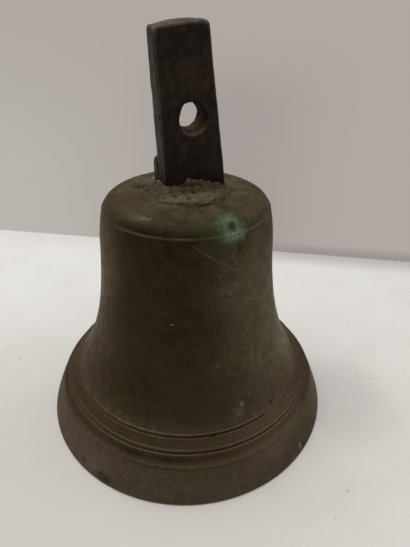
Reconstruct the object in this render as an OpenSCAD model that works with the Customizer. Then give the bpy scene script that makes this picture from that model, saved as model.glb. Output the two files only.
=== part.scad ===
// Small cast bronze bell with a forged iron hanger strap and a swinging clapper.
// Millimetres. +Z is up along the bell's axis, and the origin is the centre of the mouth on the rim plane.
// X runs along the width of the strap, and Y along the hole that the bell hangs by.

/* [Bell] */
// Diameter of the mouth
mouth_d = 140; // [132:1:150]
// Height of the bell from the rim to the top of the crown
bell_h = 112; // [108:1:120]
// Radius where the sound bow turns into the waist
flare_r = 54.4; // [52:0.2:56]
// Height where the sound bow turns into the waist
flare_z = 26; // [25:0.5:28]
// Radius of the waist just under the shoulder
shoulder_r = 37.2; // [35:0.2:39]
// Height where the waist turns into the shoulder
shoulder_z = 95; // [92:0.5:97]
// Radius of the flat on top of the crown
crown_r = 22.4; // [21:0.2:25]
// Slope of the outside at the lip, in degrees from upright
lip_slope = 19; // [14:1:24]
// Slope of the outside where the sound bow turns into the waist
flare_slope = 36.5; // [33:0.5:40]
// Slope of the outside where the waist turns into the shoulder
shoulder_slope = 8; // [5:0.5:11]
// Slope of the outside where the shoulder meets the flat of the crown
crown_slope = 75; // [70:1:80]

/* [Bell wall] */
// Thickness of the lip at the rim
lip_t = 3.6; // [3:0.1:5]
// Round on the outer edge of the lip
lip_round = 0.8; // [0.4:0.1:1.5]
// Thickness of the sound bow, measured level
bow_t = 10; // [8:0.25:12]
// Height at which the sound bow's thickness is measured
bow_z = 13; // [11:0.5:15]
// Thickness of the wall at the shoulder
waist_t = 4.5; // [3.5:0.1:6]
// Thickness of the crown
crown_t = 6; // [5:0.25:8]
// Radius of the flat under the crown
crown_inner_r = 20; // [18:0.5:24]
// Slope of the inside just behind the lip, in degrees from upright
lip_inner_slope = 62; // [55:1:70]
// Slope of the inside at the sound bow's thickest part
bow_inner_slope = 42; // [38:1:46]
// Slope of the inside under the shoulder
waist_inner_slope = 5; // [3:0.5:8]
// Slope of the inside where it runs into the flat under the crown
crown_inner_slope = 88; // [80:1:90]
// Radius of the opening in the crown
crown_hole_r = 16; // [15.5:0.1:18]

/* [Mouldings] */
// Height of the faint line turned round the lip
lip_line_z = 5.3; // [4:0.1:7]
// Height of the edge at the foot of the mouldings
low_ridge_z = 15; // [14.6:0.1:15.4]
// Height of the middle ridge
mid_ridge_z = 20.4; // [20:0.1:20.8]
// Height of the upper ridge
high_ridge_z = 24.6; // [24.3:0.1:24.8]
// Height of the fine bead round the shoulder
shoulder_bead_z = 104.9; // [102:0.1:106]
// How far the ridges stand out
ridge_h = 0.6; // [0.3:0.05:1]
// Half the width of a ridge, up the bell
ridge_w = 0.8; // [0.7:0.05:1]
// Depth of the groove cut under each ridge, and of the faint line
groove_depth = 0.45; // [0.2:0.05:0.6]
// Half the width of a groove, up the bell
groove_w = 0.7; // [0.6:0.05:0.8]
// Depth of the hollow between the low edge and the middle ridge
hollow_depth = 0.75; // [0.4:0.05:1]
// How far the shoulder bead stands out
bead_h = 0.4; // [0.2:0.05:0.7]

/* [Hanger strap] */
// Width of the strap at its foot
strap_foot_w = 25.4; // [23:0.2:27]
// Width of the strap at its top
strap_top_w = 18.8; // [16:0.2:21]
// Thickness of the strap at its foot
strap_foot_t = 10; // [9.4:0.1:12]
// Thickness of the strap at its top
strap_top_t = 8; // [7:0.1:9.4]
// Length of the strap above the crown
strap_l = 59.8; // [50:0.2:70]
// How far the strap leans towards -X, in degrees
strap_lean_x = 6.6; // [3:0.1:8]
// How far the strap leans towards -Y, in degrees
strap_lean_y = 5; // [2:0.1:6]
// How far the strap's foot stands off the bell's axis, along X
strap_x = 2.1; // [1:0.1:3]
// How far the strap's foot stands off the bell's axis, along Y
strap_y = -1.3; // [-2:0.1:-0.5]
// Width of the soft bevel along the strap's edges
strap_bevel = 0.5; // [0.3:0.1:1.2]
// Radius of the corners of the strap's top, seen from the front
strap_corner_r = 1.7; // [1:0.1:3]
// Radius of the strap's top edges, seen from the side
strap_edge_r = 0.8; // [0.5:0.1:2]
// Rise of the arched top between its corners
strap_arch = 1; // [0.6:0.1:2]
// Diameter of the hole that the bell hangs by
hang_hole_d = 10; // [8:0.5:10.5]
// Diameter of that hole's worn mouth, in the front face
hang_mouth_d = 11.4; // [10.8:0.2:13]
// Depth of the worn mouth
hang_mouth_depth = 3; // [1:0.25:4]
// Height of that hole above the crown, along the strap
hang_hole_z = 28.5; // [22:0.5:34]
// How far that hole is off the strap's centre line
hang_hole_x = 1.2; // [0:0.1:2]
// Width of the tang that goes through the crown
tang_w = 16; // [14:0.5:18]
// Thickness of the tang
tang_t = 7; // [6:0.1:7.2]

/* [Plug and wedge] */
// Radius of the bronze run round the foot of the strap
plug_r = 21.6; // [20.6:0.1:22.2]
// Thickness of the plug at its edge
plug_edge_h = 0.6; // [0.4:0.1:1]
// Rise of the plug above the crown beside the strap
plug_rise = 3.6; // [2.4:0.1:4.2]
// Slope of the plug at its edge, in degrees from upright
plug_slope = 68; // [60:1:76]
// Running gap left by the casting round the plug's neck
plug_gap = 0.03; // [0.01:0.01:0.1]
// Width of the wedge behind the strap
wedge_w = 20; // [16:0.5:20.5]
// Thickness of the wedge at its head
wedge_t = 5.8; // [5:0.1:6.5]
// Thickness of the wedge at its point
wedge_point_t = 3; // [2:0.1:4]
// Height of the wedge above the crown
wedge_rise = 14.4; // [12:0.2:16]
// Length over which the wedge's back curves in to its top
wedge_curve_l = 10.5; // [7:0.5:11.5]
// Radius of the corners of the wedge's head
wedge_corner_r = 4; // [1.5:0.1:5]
// Depth of the wedge's point below the top of the crown
wedge_depth = 5; // [3:0.25:5.5]

/* [Clapper] */
// Distance of the clapper's pin below the underside of the crown
pin_drop = 11; // [10:0.25:14]
// Diameter of the pin's shank
pin_d = 6; // [5:0.1:7]
// Running gap round the pin in the jaws
pin_gap = 0.08; // [0.05:0.01:0.1]
// Gap round the pin in the tang's eye, where it is hammered tight
eye_gap = 0.01; // [0.01:0.01:0.04]
// Diameter of the pin's heads
pin_head_d = 10; // [9:0.1:11]
// Height of the pin's heads
pin_head_h = 2.2; // [1.5:0.1:3]
// Gap under each of the pin's heads
pin_head_gap = 0.3; // [0.2:0.05:0.5]
// Thickness of each jaw
jaw_t = 4; // [3:0.1:5]
// Radius of the round end of the jaws
jaw_r = 7; // [6.2:0.1:8]
// Gap on each side between the jaws and the tang
jaw_side_gap = 0.5; // [0.3:0.05:1]
// Gap between the tang's round end and the fork
fork_gap = 1.5; // [1:0.1:2.5]
// Length of the taper from the fork down to the shank
fork_taper_l = 13; // [10:0.5:18]
// Diameter of the clapper's shank under the fork
shank_top_d = 7; // [6:0.1:8]
// Diameter of the clapper's shank above the collar
shank_low_d = 8.6; // [8:0.1:10]
// Diameter of the collar that the ball seats on
collar_d = 12.4; // [11:0.1:14]
// Height of the collar
collar_h = 3; // [2:0.1:4]
// Diameter of the tenon that goes through the ball
tenon_d = 5.6; // [5:0.1:7]
// Gap round the tenon in the ball
tenon_gap = 0.05; // [0.02:0.01:0.1]
// Diameter of the ball
ball_d = 26; // [23:0.5:28]
// Diameter of the head hammered over the end of the tenon
peen_d = 9; // [8:0.1:10]
// Height of that head
peen_h = 1.8; // [1.5:0.1:2.5]
// Height of the clapper's lowest point above the rim plane
floor_gap = 3; // [2:0.1:6]

/* [Hidden] */

bronze = "#554a33";
rough_bronze = "#62563a";
wrought_iron = "#2e2725";

// Facets of a full circle, and the steps along the bell's curves
$fn = 96;
lip_steps = 3;
bow_steps = 76;
waist_steps = 20;
shoulder_steps = 26;
inner_lip_steps = 6;
inner_waist_steps = 18;
inner_crown_steps = 8;
arc_steps = 10;
corner_steps = 5;
// Thickness of the slices that a tapered bar is drawn through
slice = 0.01;
// How far a cutting shape runs past what it cuts
over = 1;
// Handles at the two ends of each curve, as shares of the straight distance
bow_reach = [0.73, 0.26];
waist_reach = [0.38, 0.1];
shoulder_reach = [0.62, 0.57];
inner_lip_reach = [0.3, 0.3];
inner_waist_reach = [0.36, 0.25];
inner_crown_reach = [0.5, 0.45];
plug_reach = [0.3, 0.5];
forged_reach = [0.4, 0.4];
// Shares of the strap's flat top at which its arch is drawn
arch_shares = [0.85, 0.6, 0.35];

mouth_r = mouth_d / 2;
crown_under_z = bell_h - crown_t;
pin_z = crown_under_z - pin_drop;
tang_end_r = tang_w / 2;
jaw_inner_y = tang_t / 2 + jaw_side_gap;
jaw_outer_y = jaw_inner_y + jaw_t;
pin_half_l = jaw_outer_y + pin_head_gap;
fork_z = pin_z - tang_end_r - fork_gap;
shank_top_z = fork_z - fork_taper_l;
ball_r = ball_d / 2;
// The collar and the peened head each sit on a flat cut across the ball
ball_top_flat = sqrt(pow(ball_r, 2) - pow(collar_d / 2, 2));
ball_low_flat = sqrt(pow(ball_r, 2) - pow(peen_d / 2, 2));
ball_z = floor_gap + peen_h + ball_low_flat;
collar_z = ball_z + ball_top_flat;

// A smooth curve from p to q. Each end leaves at its slope from upright, leaning inwards.
function lean(slope) = [-sin(slope), cos(slope)];
function handles(p, slope_p, q, slope_q, reach) =
    [p, p + norm(q - p) * reach[0] * lean(slope_p), q - norm(q - p) * reach[1] * lean(slope_q), q];
function on_curve(h, t) =
    pow(1 - t, 3) * h[0] + 3 * pow(1 - t, 2) * t * h[1] + 3 * (1 - t) * t * t * h[2] + pow(t, 3) * h[3];
function along(h, t) =
    3 * pow(1 - t, 2) * (h[1] - h[0]) + 6 * (1 - t) * t * (h[2] - h[1]) + 3 * t * t * (h[3] - h[2]);
function outward(h, t) = let (d = along(h, t)) [d.y, -d.x] / norm(d);
function plain(h, steps, first = 0) = [for (i = [first:steps]) on_curve(h, i / steps)];

// The three stretches of the bell's outside
lip_edge = [mouth_r, lip_round];
flare = [flare_r, flare_z];
shoulder_foot = [shoulder_r, shoulder_z];
bow = handles(lip_edge, lip_slope, flare, flare_slope, bow_reach);
waist = handles(flare, flare_slope, shoulder_foot, shoulder_slope, waist_reach);
shoulder = handles(shoulder_foot, shoulder_slope, [crown_r, bell_h], crown_slope, shoulder_reach);

// The turned mouldings: how far the surface stands out of the plain curve at a height. A sharp
// groove runs under each of the two upper ridges, and a wide hollow lies below the middle one.
hollow_half = (mid_ridge_z - low_ridge_z) / 2 - ridge_w / 2;
hollow_z = (mid_ridge_z + low_ridge_z) / 2;
function bump(u) = abs(u) < 1 ? (1 + cos(180 * u)) / 2 : 0;
function ridge(z, at) = ridge_h * bump((z - at) / ridge_w);
function groove(z, at) = -groove_depth * bump((z - at) / groove_w);
function relief(z) =
    ridge(z, low_ridge_z) + ridge(z, mid_ridge_z) + ridge(z, high_ridge_z)
    + groove(z, mid_ridge_z - ridge_w) + groove(z, high_ridge_z - ridge_w) + groove(z, lip_line_z)
    - hollow_depth * bump((z - hollow_z) / hollow_half)
    + bead_h * bump((z - shoulder_bead_z) / ridge_w);
function moulded(h, steps, first = 0) =
    [for (i = [first:steps]) let (p = on_curve(h, i / steps)) p + relief(p.y) * outward(h, i / steps)];

lip_arc = [for (i = [0:lip_steps]) let (a = -90 + 90 * i / lip_steps)
    [mouth_r - lip_round + lip_round * cos(a), lip_round + lip_round * sin(a)]];
outside = concat(lip_arc, moulded(bow, bow_steps, 1), plain(waist, waist_steps, 1),
                 moulded(shoulder, shoulder_steps, 1));

// The inside: a short slope in from the lip to the thick sound bow, then up the
// waist, and round under the crown
bow_curve = plain(bow, bow_steps);
bow_inner = [lookup(bow_z, [for (p = bow_curve) [p.y, p.x]]) - bow_t, bow_z];
spring = [shoulder_r - waist_t, shoulder_z - waist_t];
crown_edge = [crown_inner_r, crown_under_z];
inner_lip = handles([mouth_r - lip_t, 0], lip_inner_slope, bow_inner, bow_inner_slope, inner_lip_reach);
inner_waist = handles(bow_inner, bow_inner_slope, spring, waist_inner_slope, inner_waist_reach);
inner_crown = handles(spring, waist_inner_slope, crown_edge, crown_inner_slope, inner_crown_reach);
inside = concat(plain(inner_lip, inner_lip_steps), plain(inner_waist, inner_waist_steps, 1),
                plain(inner_crown, inner_crown_steps, 1));
function reversed(list) = [for (i = [len(list) - 1:-1:0]) list[i]];

// Points of an arc round a centre
function arc(centre, r, from, to, steps = arc_steps) =
    [for (i = [0:steps]) let (a = from + (to - from) * i / steps) centre + r * [cos(a), sin(a)]];

// Cast shell: one turned section with its sound bow, waist, shoulder and open crown
module bell_body() {
    color(bronze)
        rotate_extrude()
            polygon(concat(outside, [[crown_hole_r, bell_h], [crown_hole_r, crown_under_z]], reversed(inside)));
}

// Carries the strap's own frame: its foot on the crown, leaning as it stands
module strap_place() {
    translate([strap_x, strap_y, bell_h])
        rotate([strap_lean_y, -strap_lean_x, 0])
            children();
}

// One slice across the strap, with its corners bevelled
module strap_slice(z, w, t) {
    x = w / 2;
    y = t / 2;
    translate([0, 0, z])
        linear_extrude(slice)
            polygon([[x - strap_bevel, -y], [x, strap_bevel - y], [x, y - strap_bevel], [x - strap_bevel, y],
                     [strap_bevel - x, y], [-x, y - strap_bevel], [-x, strap_bevel - y], [strap_bevel - x, -y]]);
}

// The strap's width and thickness, both drawn down towards its top
function strap_w(z) = strap_foot_w + (strap_top_w - strap_foot_w) * z / strap_l;
function strap_t(z) = strap_foot_t + (strap_top_t - strap_foot_t) * z / strap_l;

// The tapered bar, from under the crown's top up to its rounded corners and arched end
module strap_bar() {
    corner_z = strap_l - strap_arch - strap_corner_r;
    arch_w = strap_w(corner_z) - 2 * strap_corner_r;
    arch_t = strap_t(corner_z) - 2 * strap_edge_r;
    hull() {
        strap_slice(-wedge_depth, strap_w(-wedge_depth), strap_t(-wedge_depth));
        for (p = arc([0, 0], 1, 0, 90, corner_steps))
            strap_slice(corner_z + strap_corner_r * p.y, arch_w + 2 * strap_corner_r * p.x,
                        arch_t + 2 * strap_edge_r * p.x);
        for (share = arch_shares)
            strap_slice(strap_l - slice - strap_arch * pow(share, 2), arch_w * share, arch_t * share);
    }
}

// What the strap fills above the crown: the bar, cut level where it shoulders on the crown
module strap_above() {
    reach = 2 * strap_l;
    intersection() {
        strap_place() strap_bar();
        translate([-reach / 2, -reach / 2, bell_h]) cube(reach);
    }
}

// The hole that the bell hangs by, right through the strap, with its mouth in front worn wider
module hang_hole() {
    r = hang_hole_d / 2;
    face = strap_t(hang_hole_z) / 2;
    flare = (hang_mouth_d / 2 - r) / hang_mouth_depth;
    mouth_l = hang_mouth_depth + over;
    translate([hang_hole_x, 0, hang_hole_z])
        rotate([90, 0, 0]) {
            cylinder(r = r, h = strap_foot_t + 2 * over, center = true);
            translate([0, 0, face - hang_mouth_depth])
                cylinder(r1 = r, r2 = r + flare * mouth_l, h = mouth_l);
        }
}

// The upright tang with its round eye, flat side square to the pin
module tang() {
    top_z = bell_h + over;
    rotate([90, 0, 0])
        linear_extrude(tang_t, center = true)
            polygon(concat([[tang_end_r, top_z], [-tang_end_r, top_z]], arc([0, pin_z], tang_end_r, 180, 360)));
}

// Forged iron hanger: strap above, tang through the crown, eye for the clapper's pin
module hanger_strap() {
    color(wrought_iron)
        difference() {
            union() {
                strap_above();
                tang();
            }
            strap_place() hang_hole();
            translate([0, 0, pin_z])
                rotate([90, 0, 0])
                    cylinder(r = pin_d / 2 + eye_gap, h = tang_t + 2 * over, center = true);
        }
}

// The wedge's body, in the strap's frame: it lies on the strap's back face with its left end
// flush with the strap, its back curves in to its top, and its head's corners are rounded
module wedge_body() {
    back = strap_t(0) / 2;
    low_back = strap_t(-wedge_depth) / 2;
    left = -strap_foot_w / 2;
    right = left + wedge_w;
    curve_z = wedge_rise - wedge_curve_l;
    corner_z = wedge_rise - wedge_corner_r;
    back_curve = [for (p = arc([0, 0], 1, 0, 90)) let (z = curve_z + p.y * wedge_curve_l)
        [strap_t(z) / 2 + p.x * wedge_t, z]];
    intersection() {
        translate([left, 0, 0])
            rotate([90, 0, 90])
                linear_extrude(wedge_w)
                    polygon(concat([[low_back, -wedge_depth], [low_back + wedge_point_t, -wedge_depth],
                                    [back + wedge_t, 0]], back_curve));
        translate([0, back + wedge_t + over, 0])
            rotate([90, 0, 0])
                linear_extrude(wedge_t + 2 * over)
                    polygon(concat([[left, -wedge_depth], [right, -wedge_depth]],
                                   arc([right - wedge_corner_r, corner_z], wedge_corner_r, 0, 90),
                                   arc([left + wedge_corner_r, corner_z], wedge_corner_r, 90, 180)));
    }
}

// Iron wedge hammered in behind the strap
module hanger_wedge() {
    color(wrought_iron)
        difference() {
            strap_place() wedge_body();
            strap_above();
            tang();
        }
}

// Bronze run into the crown round the tang and the wedge, spread over the crown's top
module crown_plug() {
    neck_r = crown_hole_r - plug_gap;
    dome = handles([plug_r, bell_h + plug_edge_h], plug_slope, [0, bell_h + plug_rise], 90, plug_reach);
    color(rough_bronze)
        difference() {
            rotate_extrude()
                polygon(concat([[0, crown_under_z], [neck_r, crown_under_z], [neck_r, bell_h], [plug_r, bell_h]],
                               plain(dome, arc_steps)));
            strap_above();
            tang();
            strap_place() wedge_body();
        }
}

// Headed rivet through the jaws and the tang's eye
module clapper_pin() {
    dome = [for (p = arc([0, 0], 1, 0, 90)) [p.x * pin_head_d / 2, pin_half_l + p.y * pin_head_h]];
    color(wrought_iron)
        translate([0, 0, pin_z])
            rotate([90, 0, 0])
                union() {
                    cylinder(d = pin_d, h = 2 * pin_half_l, center = true);
                    for (side = [0, 1])
                        mirror([0, 0, side])
                            rotate_extrude()
                                polygon(concat([[0, pin_half_l]], dome));
                }
}

// The fork seen from the front: round-ended jaws running down into the shank
module fork_front() {
    r = shank_top_d / 2;
    side = handles([jaw_r, fork_z], 0, [r, shank_top_z], 0, forged_reach);
    polygon(concat(arc([0, pin_z], jaw_r, 0, 180),
                   [for (p = plain(side, arc_steps)) [-p.x, p.y]], reversed(plain(side, arc_steps))));
}

// The fork seen from the side: two jaws with a slot, running down into the shank
module fork_side() {
    r = shank_top_d / 2;
    top_z = pin_z + jaw_r + over;
    crotch_r = jaw_inner_y / 3;
    side = handles([jaw_outer_y, fork_z], 0, [r, shank_top_z], 0, forged_reach);
    polygon(concat([[-jaw_inner_y, top_z], [-jaw_outer_y, top_z]],
                   [for (p = plain(side, arc_steps)) [-p.x, p.y]], reversed(plain(side, arc_steps)),
                   [[jaw_outer_y, top_z], [jaw_inner_y, top_z]],
                   arc([jaw_inner_y - crotch_r, fork_z + crotch_r], crotch_r, 0, -90),
                   arc([crotch_r - jaw_inner_y, fork_z + crotch_r], crotch_r, -90, -180)));
}

// Forged clapper shank: fork at the top, swelling to the collar, tenon and peened head below
module clapper_stem() {
    collar_top_z = collar_z + collar_h;
    swell = handles([shank_low_d / 2, collar_top_z], 0, [shank_top_d / 2, shank_top_z], 0, forged_reach);
    peen_z = ball_z - ball_low_flat;
    peen_edge = peen_h / 3;
    bevel = collar_h / 5;
    color(wrought_iron)
        difference() {
            union() {
                intersection() {
                    rotate([90, 0, 0])
                        linear_extrude(2 * (jaw_outer_y + over), center = true)
                            fork_front();
                    rotate([90, 0, 90])
                        linear_extrude(2 * (jaw_r + over), center = true)
                            fork_side();
                }
                rotate_extrude()
                    polygon(concat([[0, peen_z - peen_h], [peen_d / 4, peen_z - peen_h],
                                    [peen_d / 2, peen_z - peen_edge], [peen_d / 2, peen_z],
                                    [tenon_d / 2, peen_z], [tenon_d / 2, collar_z],
                                    [collar_d / 2, collar_z], [collar_d / 2, collar_top_z - bevel],
                                    [collar_d / 2 - bevel, collar_top_z]],
                                   plain(swell, arc_steps), [[0, shank_top_z]]));
            }
            translate([0, 0, pin_z])
                rotate([90, 0, 0])
                    cylinder(r = pin_d / 2 + pin_gap, h = 2 * (jaw_outer_y + over), center = true);
        }
}

// Iron ball, drilled for the tenon and flattened where the collar and the head seat
module clapper_ball() {
    flat_h = ball_r;
    color(wrought_iron)
        translate([0, 0, ball_z])
            difference() {
                sphere(d = ball_d);
                cylinder(r = tenon_d / 2 + tenon_gap, h = ball_d + 2 * over, center = true);
                translate([-ball_r, -ball_r, ball_top_flat]) cube([ball_d, ball_d, flat_h]);
                translate([-ball_r, -ball_r, -ball_low_flat - flat_h]) cube([ball_d, ball_d, flat_h]);
            }
}

bell_body();
crown_plug();
hanger_strap();
hanger_wedge();
clapper_pin();
clapper_stem();
clapper_ball();
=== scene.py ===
# Small cast bronze bell standing on its mouth, with a forged iron hanger strap through its crown
# and a clapper swinging inside. Metres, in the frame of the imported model: +Z up, the mouth at z = 0.
import math

import bmesh
import bpy
import numpy as np
from mathutils import Matrix, Vector, noise


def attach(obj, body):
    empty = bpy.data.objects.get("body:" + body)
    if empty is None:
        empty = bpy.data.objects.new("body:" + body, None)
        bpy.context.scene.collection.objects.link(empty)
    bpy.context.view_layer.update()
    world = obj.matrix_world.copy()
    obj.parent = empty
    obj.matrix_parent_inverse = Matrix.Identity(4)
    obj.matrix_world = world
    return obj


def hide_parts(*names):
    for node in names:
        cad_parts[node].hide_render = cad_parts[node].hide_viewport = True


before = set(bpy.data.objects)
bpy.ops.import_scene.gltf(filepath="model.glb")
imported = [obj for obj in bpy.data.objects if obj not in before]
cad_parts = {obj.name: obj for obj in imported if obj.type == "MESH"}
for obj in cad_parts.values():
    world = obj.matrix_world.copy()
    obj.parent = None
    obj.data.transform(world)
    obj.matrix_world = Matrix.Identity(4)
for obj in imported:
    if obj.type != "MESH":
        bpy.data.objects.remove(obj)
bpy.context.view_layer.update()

MM = 0.001


# The bell itself is one bronze casting, turned on its outside: a plain lip band, a group of mouldings, the
# waist, a fine bead round the shoulder and a rounded crown. The inside is left as it was cast.
mouth_r = 70.0
lip_round = 0.8
lip_t = 3.6
flare_r, flare_z = 54.4, 26.0
shoulder_r, shoulder_z = 37.2, 95.0
crown_r, bell_h = 22.4, 112.0
crown_under_z, crown_inner_r, crown_hole_r = 106.0, 20.0, 16.0
bow_t, bow_z, waist_t = 10.0, 13.0, 4.5

# Points deeper in than skin_depth belong to the inside. The ball strikes it at strike_z, and the drips under the
# verdigris run down the shoulder at drip_r.
skin_depth, bead_z, moulding_top_z = 2.6, 105.0, 27
strike_z, strike_r, drip_r = 29.5, 44.3, 36.4

# Slopes from upright, in degrees, outside and inside, and the steps along the three outer curves
lip_slope, flare_slope, shoulder_slope, crown_slope = 19, 36.5, 8, 75
in_lip_slope, in_bow_slope, spring_slope, under_slope = 62, 42, 5, 88
bow_steps, waist_steps, shoulder_steps = 116, 44, 68

# Mouldings as (height, stands out by, half width), from the lip upwards
mouldings = [
    (5.3, -0.12, 0.5),
    (15.5, 0.34, 0.8), (17.8, -0.65, 2.2), (19.4, 0.22, 0.5),
    (20.1, -0.34, 0.42), (20.8, 0.4, 0.65),
    (24.35, -0.38, 0.42), (25.1, 0.42, 0.65), (27.6, -0.22, 2.4),
    (104.9, 0.24, 0.5),
]


def lean(slope):
    """Direction of a curve at a slope from upright, in degrees, leaning towards the axis."""
    return Vector((-math.sin(math.radians(slope)), math.cos(math.radians(slope))))


def swept(p, slope_p, share_p, q, slope_q, share_q, steps):
    """Points and outward directions along a smooth curve from p to q, which leaves and arrives at the slopes."""
    p, q = Vector(p), Vector(q)
    reach = (q - p).length
    a, b = p + lean(slope_p) * reach * share_p, q - lean(slope_q) * reach * share_q
    found = []
    for i in range(steps + 1):
        t = i / steps
        s = 1 - t
        place = s**3 * p + 3 * s * s * t * a + 3 * s * t * t * b + t**3 * q
        run = 3 * s * s * (a - p) + 6 * s * t * (b - a) + 3 * t * t * (q - b)
        found.append((place, Vector((run.y, -run.x)).normalized()))
    return found


def relief(z):
    """How far the turned mouldings stand out of the plain curve at a height."""
    return sum(out * (1 + math.cos(math.pi * (z - at) / half)) / 2
               for at, out, half in mouldings if abs(z - at) < half)


def bow_curve():
    """The plain curve of the bow, from the lip up to the foot of the waist."""
    return swept((mouth_r, lip_round), lip_slope, 0.73, (flare_r, flare_z), flare_slope, 0.26, bow_steps)


def bell_outline():
    """The section of the casting, in millimetres, in two parts: up the outside, then down the inside."""
    lip = [(mouth_r - lip_round * (1 - math.sin(a)), lip_round * (1 - math.cos(a)))
           for a in (math.pi / 2 * i / 6 for i in range(7))]
    bow = bow_curve()
    waist = swept((flare_r, flare_z), flare_slope, 0.38, (shoulder_r, shoulder_z), shoulder_slope, 0.1, waist_steps)
    shoulder = swept((shoulder_r, shoulder_z), shoulder_slope, 0.62, (crown_r, bell_h), crown_slope, 0.57,
                     shoulder_steps)
    outer = [p + relief(p.y) * out for p, out in bow[1:] + waist[1:] + shoulder[1:]]
    flat = [(r, bell_h - 0.1) for r in (crown_r - 0.6, crown_r - 1.5, crown_r - 2.5, crown_r - 3.5)]
    hole = [(crown_hole_r, bell_h - 0.1), (crown_hole_r, crown_under_z)]
    bow_r = next(p.x for p, _ in bow if p.y >= bow_z) - bow_t
    spring = (shoulder_r - waist_t, shoulder_z - waist_t)
    inner = [p for p, _ in swept((mouth_r - lip_t, 0), in_lip_slope, 0.3, (bow_r, bow_z), in_bow_slope, 0.3, 12)]
    inner += [p for p, _ in swept((bow_r, bow_z), in_bow_slope, 0.36, spring, spring_slope, 0.25, 30)[1:]]
    inner += [p for p, _ in swept(spring, spring_slope, 0.5, (crown_inner_r, crown_under_z), under_slope, 0.45,
                                  15)[1:]]
    return [Vector(p) for p in lip] + outer, [Vector(p) for p in flat + hole] + inner[::-1]


def linked(name, data):
    """An object at the origin, in the scene."""
    made = bpy.data.objects.new(name, data)
    bpy.context.scene.collection.objects.link(made)
    return made


def new_object(name, vertices, edges=(), faces=()):
    """A mesh object at the origin, from points in metres."""
    mesh = bpy.data.meshes.new(name)
    mesh.from_pydata([tuple(v) for v in vertices], list(edges), list(faces))
    mesh.update()
    return linked(name, mesh)


def add(tree, kind, **settings):
    """A node in a tree, with its settings."""
    made = tree.nodes.new(kind)
    for name, value in settings.items():
        setattr(made, name, value)
    return made


def feed(tree, node, **sockets):
    """Gives a node's inputs their values or links. Names use _ for a space, and i0, i1 for an input's number."""
    for name, value in sockets.items():
        numbered = name[0] == "i" and name[1:].isdigit()
        socket = node.inputs[int(name[1:])] if numbered else node.inputs[name.replace("_", " ")]
        if isinstance(value, bpy.types.NodeSocket):
            tree.links.new(value, socket)
        else:
            socket.default_value = value
    return node


def maths(tree, operation, *values, clamp=False):
    """A Math node's result. Each value is a number or a socket."""
    made = add(tree, "ShaderNodeMath", operation=operation, use_clamp=clamp)
    return feed(tree, made, **{f"i{i}": v for i, v in enumerate(values)}).outputs[0]


def folded(operation):
    """A function that takes numbers and sockets through one operation, from left to right."""
    def result(tree, made, *others):
        """The first value, taken on by the others."""
        for other in others:
            made = maths(tree, operation, made, other)
        return made
    return result


times, plus, less, most = (folded(operation) for operation in ("MULTIPLY", "ADD", "SUBTRACT", "MAXIMUM"))


def turning_tree():
    """Turns a section into a casting: the section's points are carried round the axis, and the surface is made
    a little uneven, as sand and the lathe leave it."""
    tree = bpy.data.node_groups.new("Turned casting", "GeometryNodeTree")
    for title, kind, value in (("Geometry", "Geometry", None), ("Steps Round", "Int", 360),
                               ("Unevenness", "Float", 0.0), ("Unevenness Size", "Float", 0.02),
                               ("Seed", "Float", 1.0), ("Material", "Material", None)):
        socket = tree.interface.new_socket(title, in_out="INPUT", socket_type="NodeSocket" + kind)
        if value is not None:
            socket.default_value = value
    tree.interface.new_socket("Geometry", in_out="OUTPUT", socket_type="NodeSocketGeometry")
    given = add(tree, "NodeGroupInput").outputs
    counted = feed(tree, add(tree, "GeometryNodeAttributeDomainSize", component="MESH"), Geometry=given["Geometry"])
    around = plus(tree, given["Steps Round"], 1.0)
    grid = feed(tree, add(tree, "GeometryNodeMeshGrid"), Vertices_X=counted.outputs["Point Count"], Vertices_Y=around)
    index = add(tree, "GeometryNodeInputIndex").outputs[0]
    row = maths(tree, "FLOOR", maths(tree, "DIVIDE", index, around))
    turn = maths(tree, "DIVIDE", maths(tree, "MODULO", index, around), given["Steps Round"])
    picked = feed(tree, add(tree, "GeometryNodeSampleIndex", data_type="FLOAT_VECTOR", domain="POINT"),
                  Geometry=given["Geometry"], Value=add(tree, "GeometryNodeInputPosition").outputs[0], Index=row)
    turned = feed(tree, add(tree, "ShaderNodeVectorRotate", rotation_type="Z_AXIS"), Vector=picked.outputs[0],
                  Angle=times(tree, turn, -2 * math.pi))
    placed = feed(tree, add(tree, "GeometryNodeSetPosition"), Geometry=grid.outputs["Mesh"],
                  Position=turned.outputs[0])
    closed = feed(tree, add(tree, "GeometryNodeMergeByDistance"), Geometry=placed.outputs[0], Distance=1e-6)
    cloud = feed(tree, add(tree, "ShaderNodeTexNoise", noise_dimensions="4D"), W=given["Seed"],
                 Scale=maths(tree, "DIVIDE", 1.0, given["Unevenness Size"]), Detail=2.0)
    depth = times(tree, less(tree, cloud.outputs[0], 0.5), given["Unevenness"])
    push = feed(tree, add(tree, "ShaderNodeVectorMath", operation="SCALE"), Scale=depth,
                Vector=add(tree, "GeometryNodeInputNormal").outputs[0])
    uneven = feed(tree, add(tree, "GeometryNodeSetPosition"), Geometry=closed.outputs[0], Offset=push.outputs[0])
    smooth = feed(tree, add(tree, "GeometryNodeSetShadeSmooth"), Geometry=uneven.outputs[0])
    real = feed(tree, add(tree, "GeometryNodeRealizeInstances"), Geometry=smooth.outputs[0])
    dressed = feed(tree, add(tree, "GeometryNodeSetMaterial"), Geometry=real.outputs[0], Material=given["Material"])
    feed(tree, add(tree, "NodeGroupOutput"), Geometry=dressed.outputs[0])
    return tree


turned_casting = turning_tree()


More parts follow.
